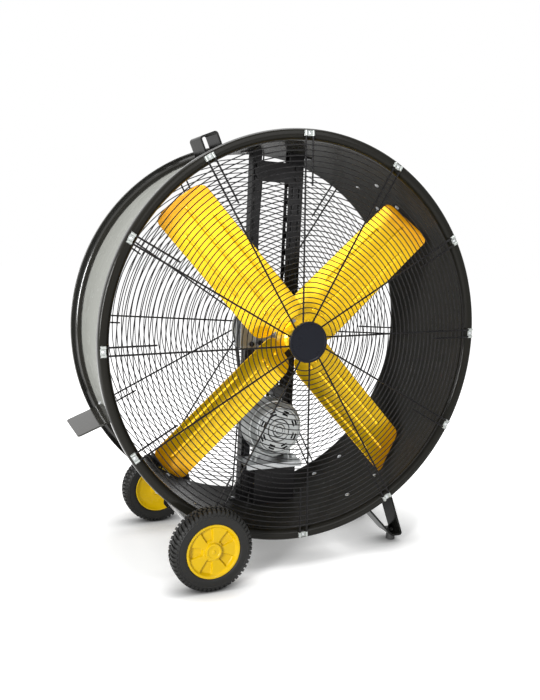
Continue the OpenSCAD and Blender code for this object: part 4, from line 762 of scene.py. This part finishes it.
# Wheel centres: moulded from yellow plastic, with a thin outer ring, five sunk fields with soft edges and a ring
# round the closed middle. Each runs on the axle with a long boss, between two pressed rings.
hub_yellow = coated("hub_yellow", (0.52, 0.34, 0.001), (0.46, 0.29, 0.001), bare=(0.95, 0.8, 0.3), rough=0.22,
                    haze=0.12, peel=0.1, grain=450.0, dust=0.0, gloss=0.2)
hub_steps, front_least = 240, 10
field_count, field_start, field_deep, field_from, field_to = 5, 37, 6.2, 24, 58
field_half, field_taper, taper_r = 17, 0.06, 56
side_slope, inner_slope, outer_slope = 4, 4, 3


def slope(inside, width):
    """0 at an edge and 1 once a point is its width or more inside it."""
    return min(max(inside / width, 0), 1)


def wheel_centre():
    """A dished disc with its boss, turned round z, whose front face is then sunk in five fields."""
    front = [(0, 21.4), (0, 24), (3.6, 24), (4.4, 23.2), (4.8, 22.6), (13.2, 22.6), (14.2, 23.4), (15, 24),
             (18.4, 24), (19.4, 23), (20.4, 16.6), (24, 16.2)]
    front += [(r, 16.2 + (r - 24) * 0.01) for r in range(26, 55, 2)]
    front += [(56, 16.4), (58, 17.6), (60, 20.6), (61, 21.8), (62, 22.0), (65.4, 22.0), (66, 21.4)]
    back = [(66, -21.4), (65.4, -22), (63, -22), (62, -21), (52, -16), (22, -14), (18, -19), (17, -26),
            (8.05, -26), (8.05, 16.6), (13, 16.6), (13, 21.4)]
    made = revolved(front + back + [front[0]], hub_steps)
    field_turn = 360 / field_count
    for v in made.verts:
        r, a = sqrt(v.co.x ** 2 + v.co.y ** 2), atan2(v.co.y, v.co.x) * 180 / pi
        if v.co.z > front_least and field_from < r < field_to:
            off = abs((a - field_start + field_turn / 2) % field_turn - field_turn / 2)
            wide = field_half + (taper_r - r) * field_taper
            share = (slope(wide - off, side_slope) * slope(r - field_from, inner_slope)
                     * slope(field_to - r, outer_slope))
            v.co.z -= field_deep * share * share * (3 - 2 * share)
    return made


for side, lay in wheel_places:
    finish_piece(side + "_wheel_centre", wheel_centre(), front_view @ lay, hub_yellow, side + "_wheel",
                 "hub_yellow", side + "_wheel_hub")

# Switch box: a box with its lid, a fluted knob and a cable gland, all moulded from matt black plastic.
# The box is fixed on the outside of the drum with its curved floor, and screws in its corners hold the lid.
box_black = coated("box_black", (0.016, 0.016, 0.017), (0.022, 0.022, 0.022), rough=0.45, peel=0.2, grain=600.0)
for node in ("switch_box", "switch_cover", "speed_knob", "cable_gland"):
    finish_node(node, box_black)
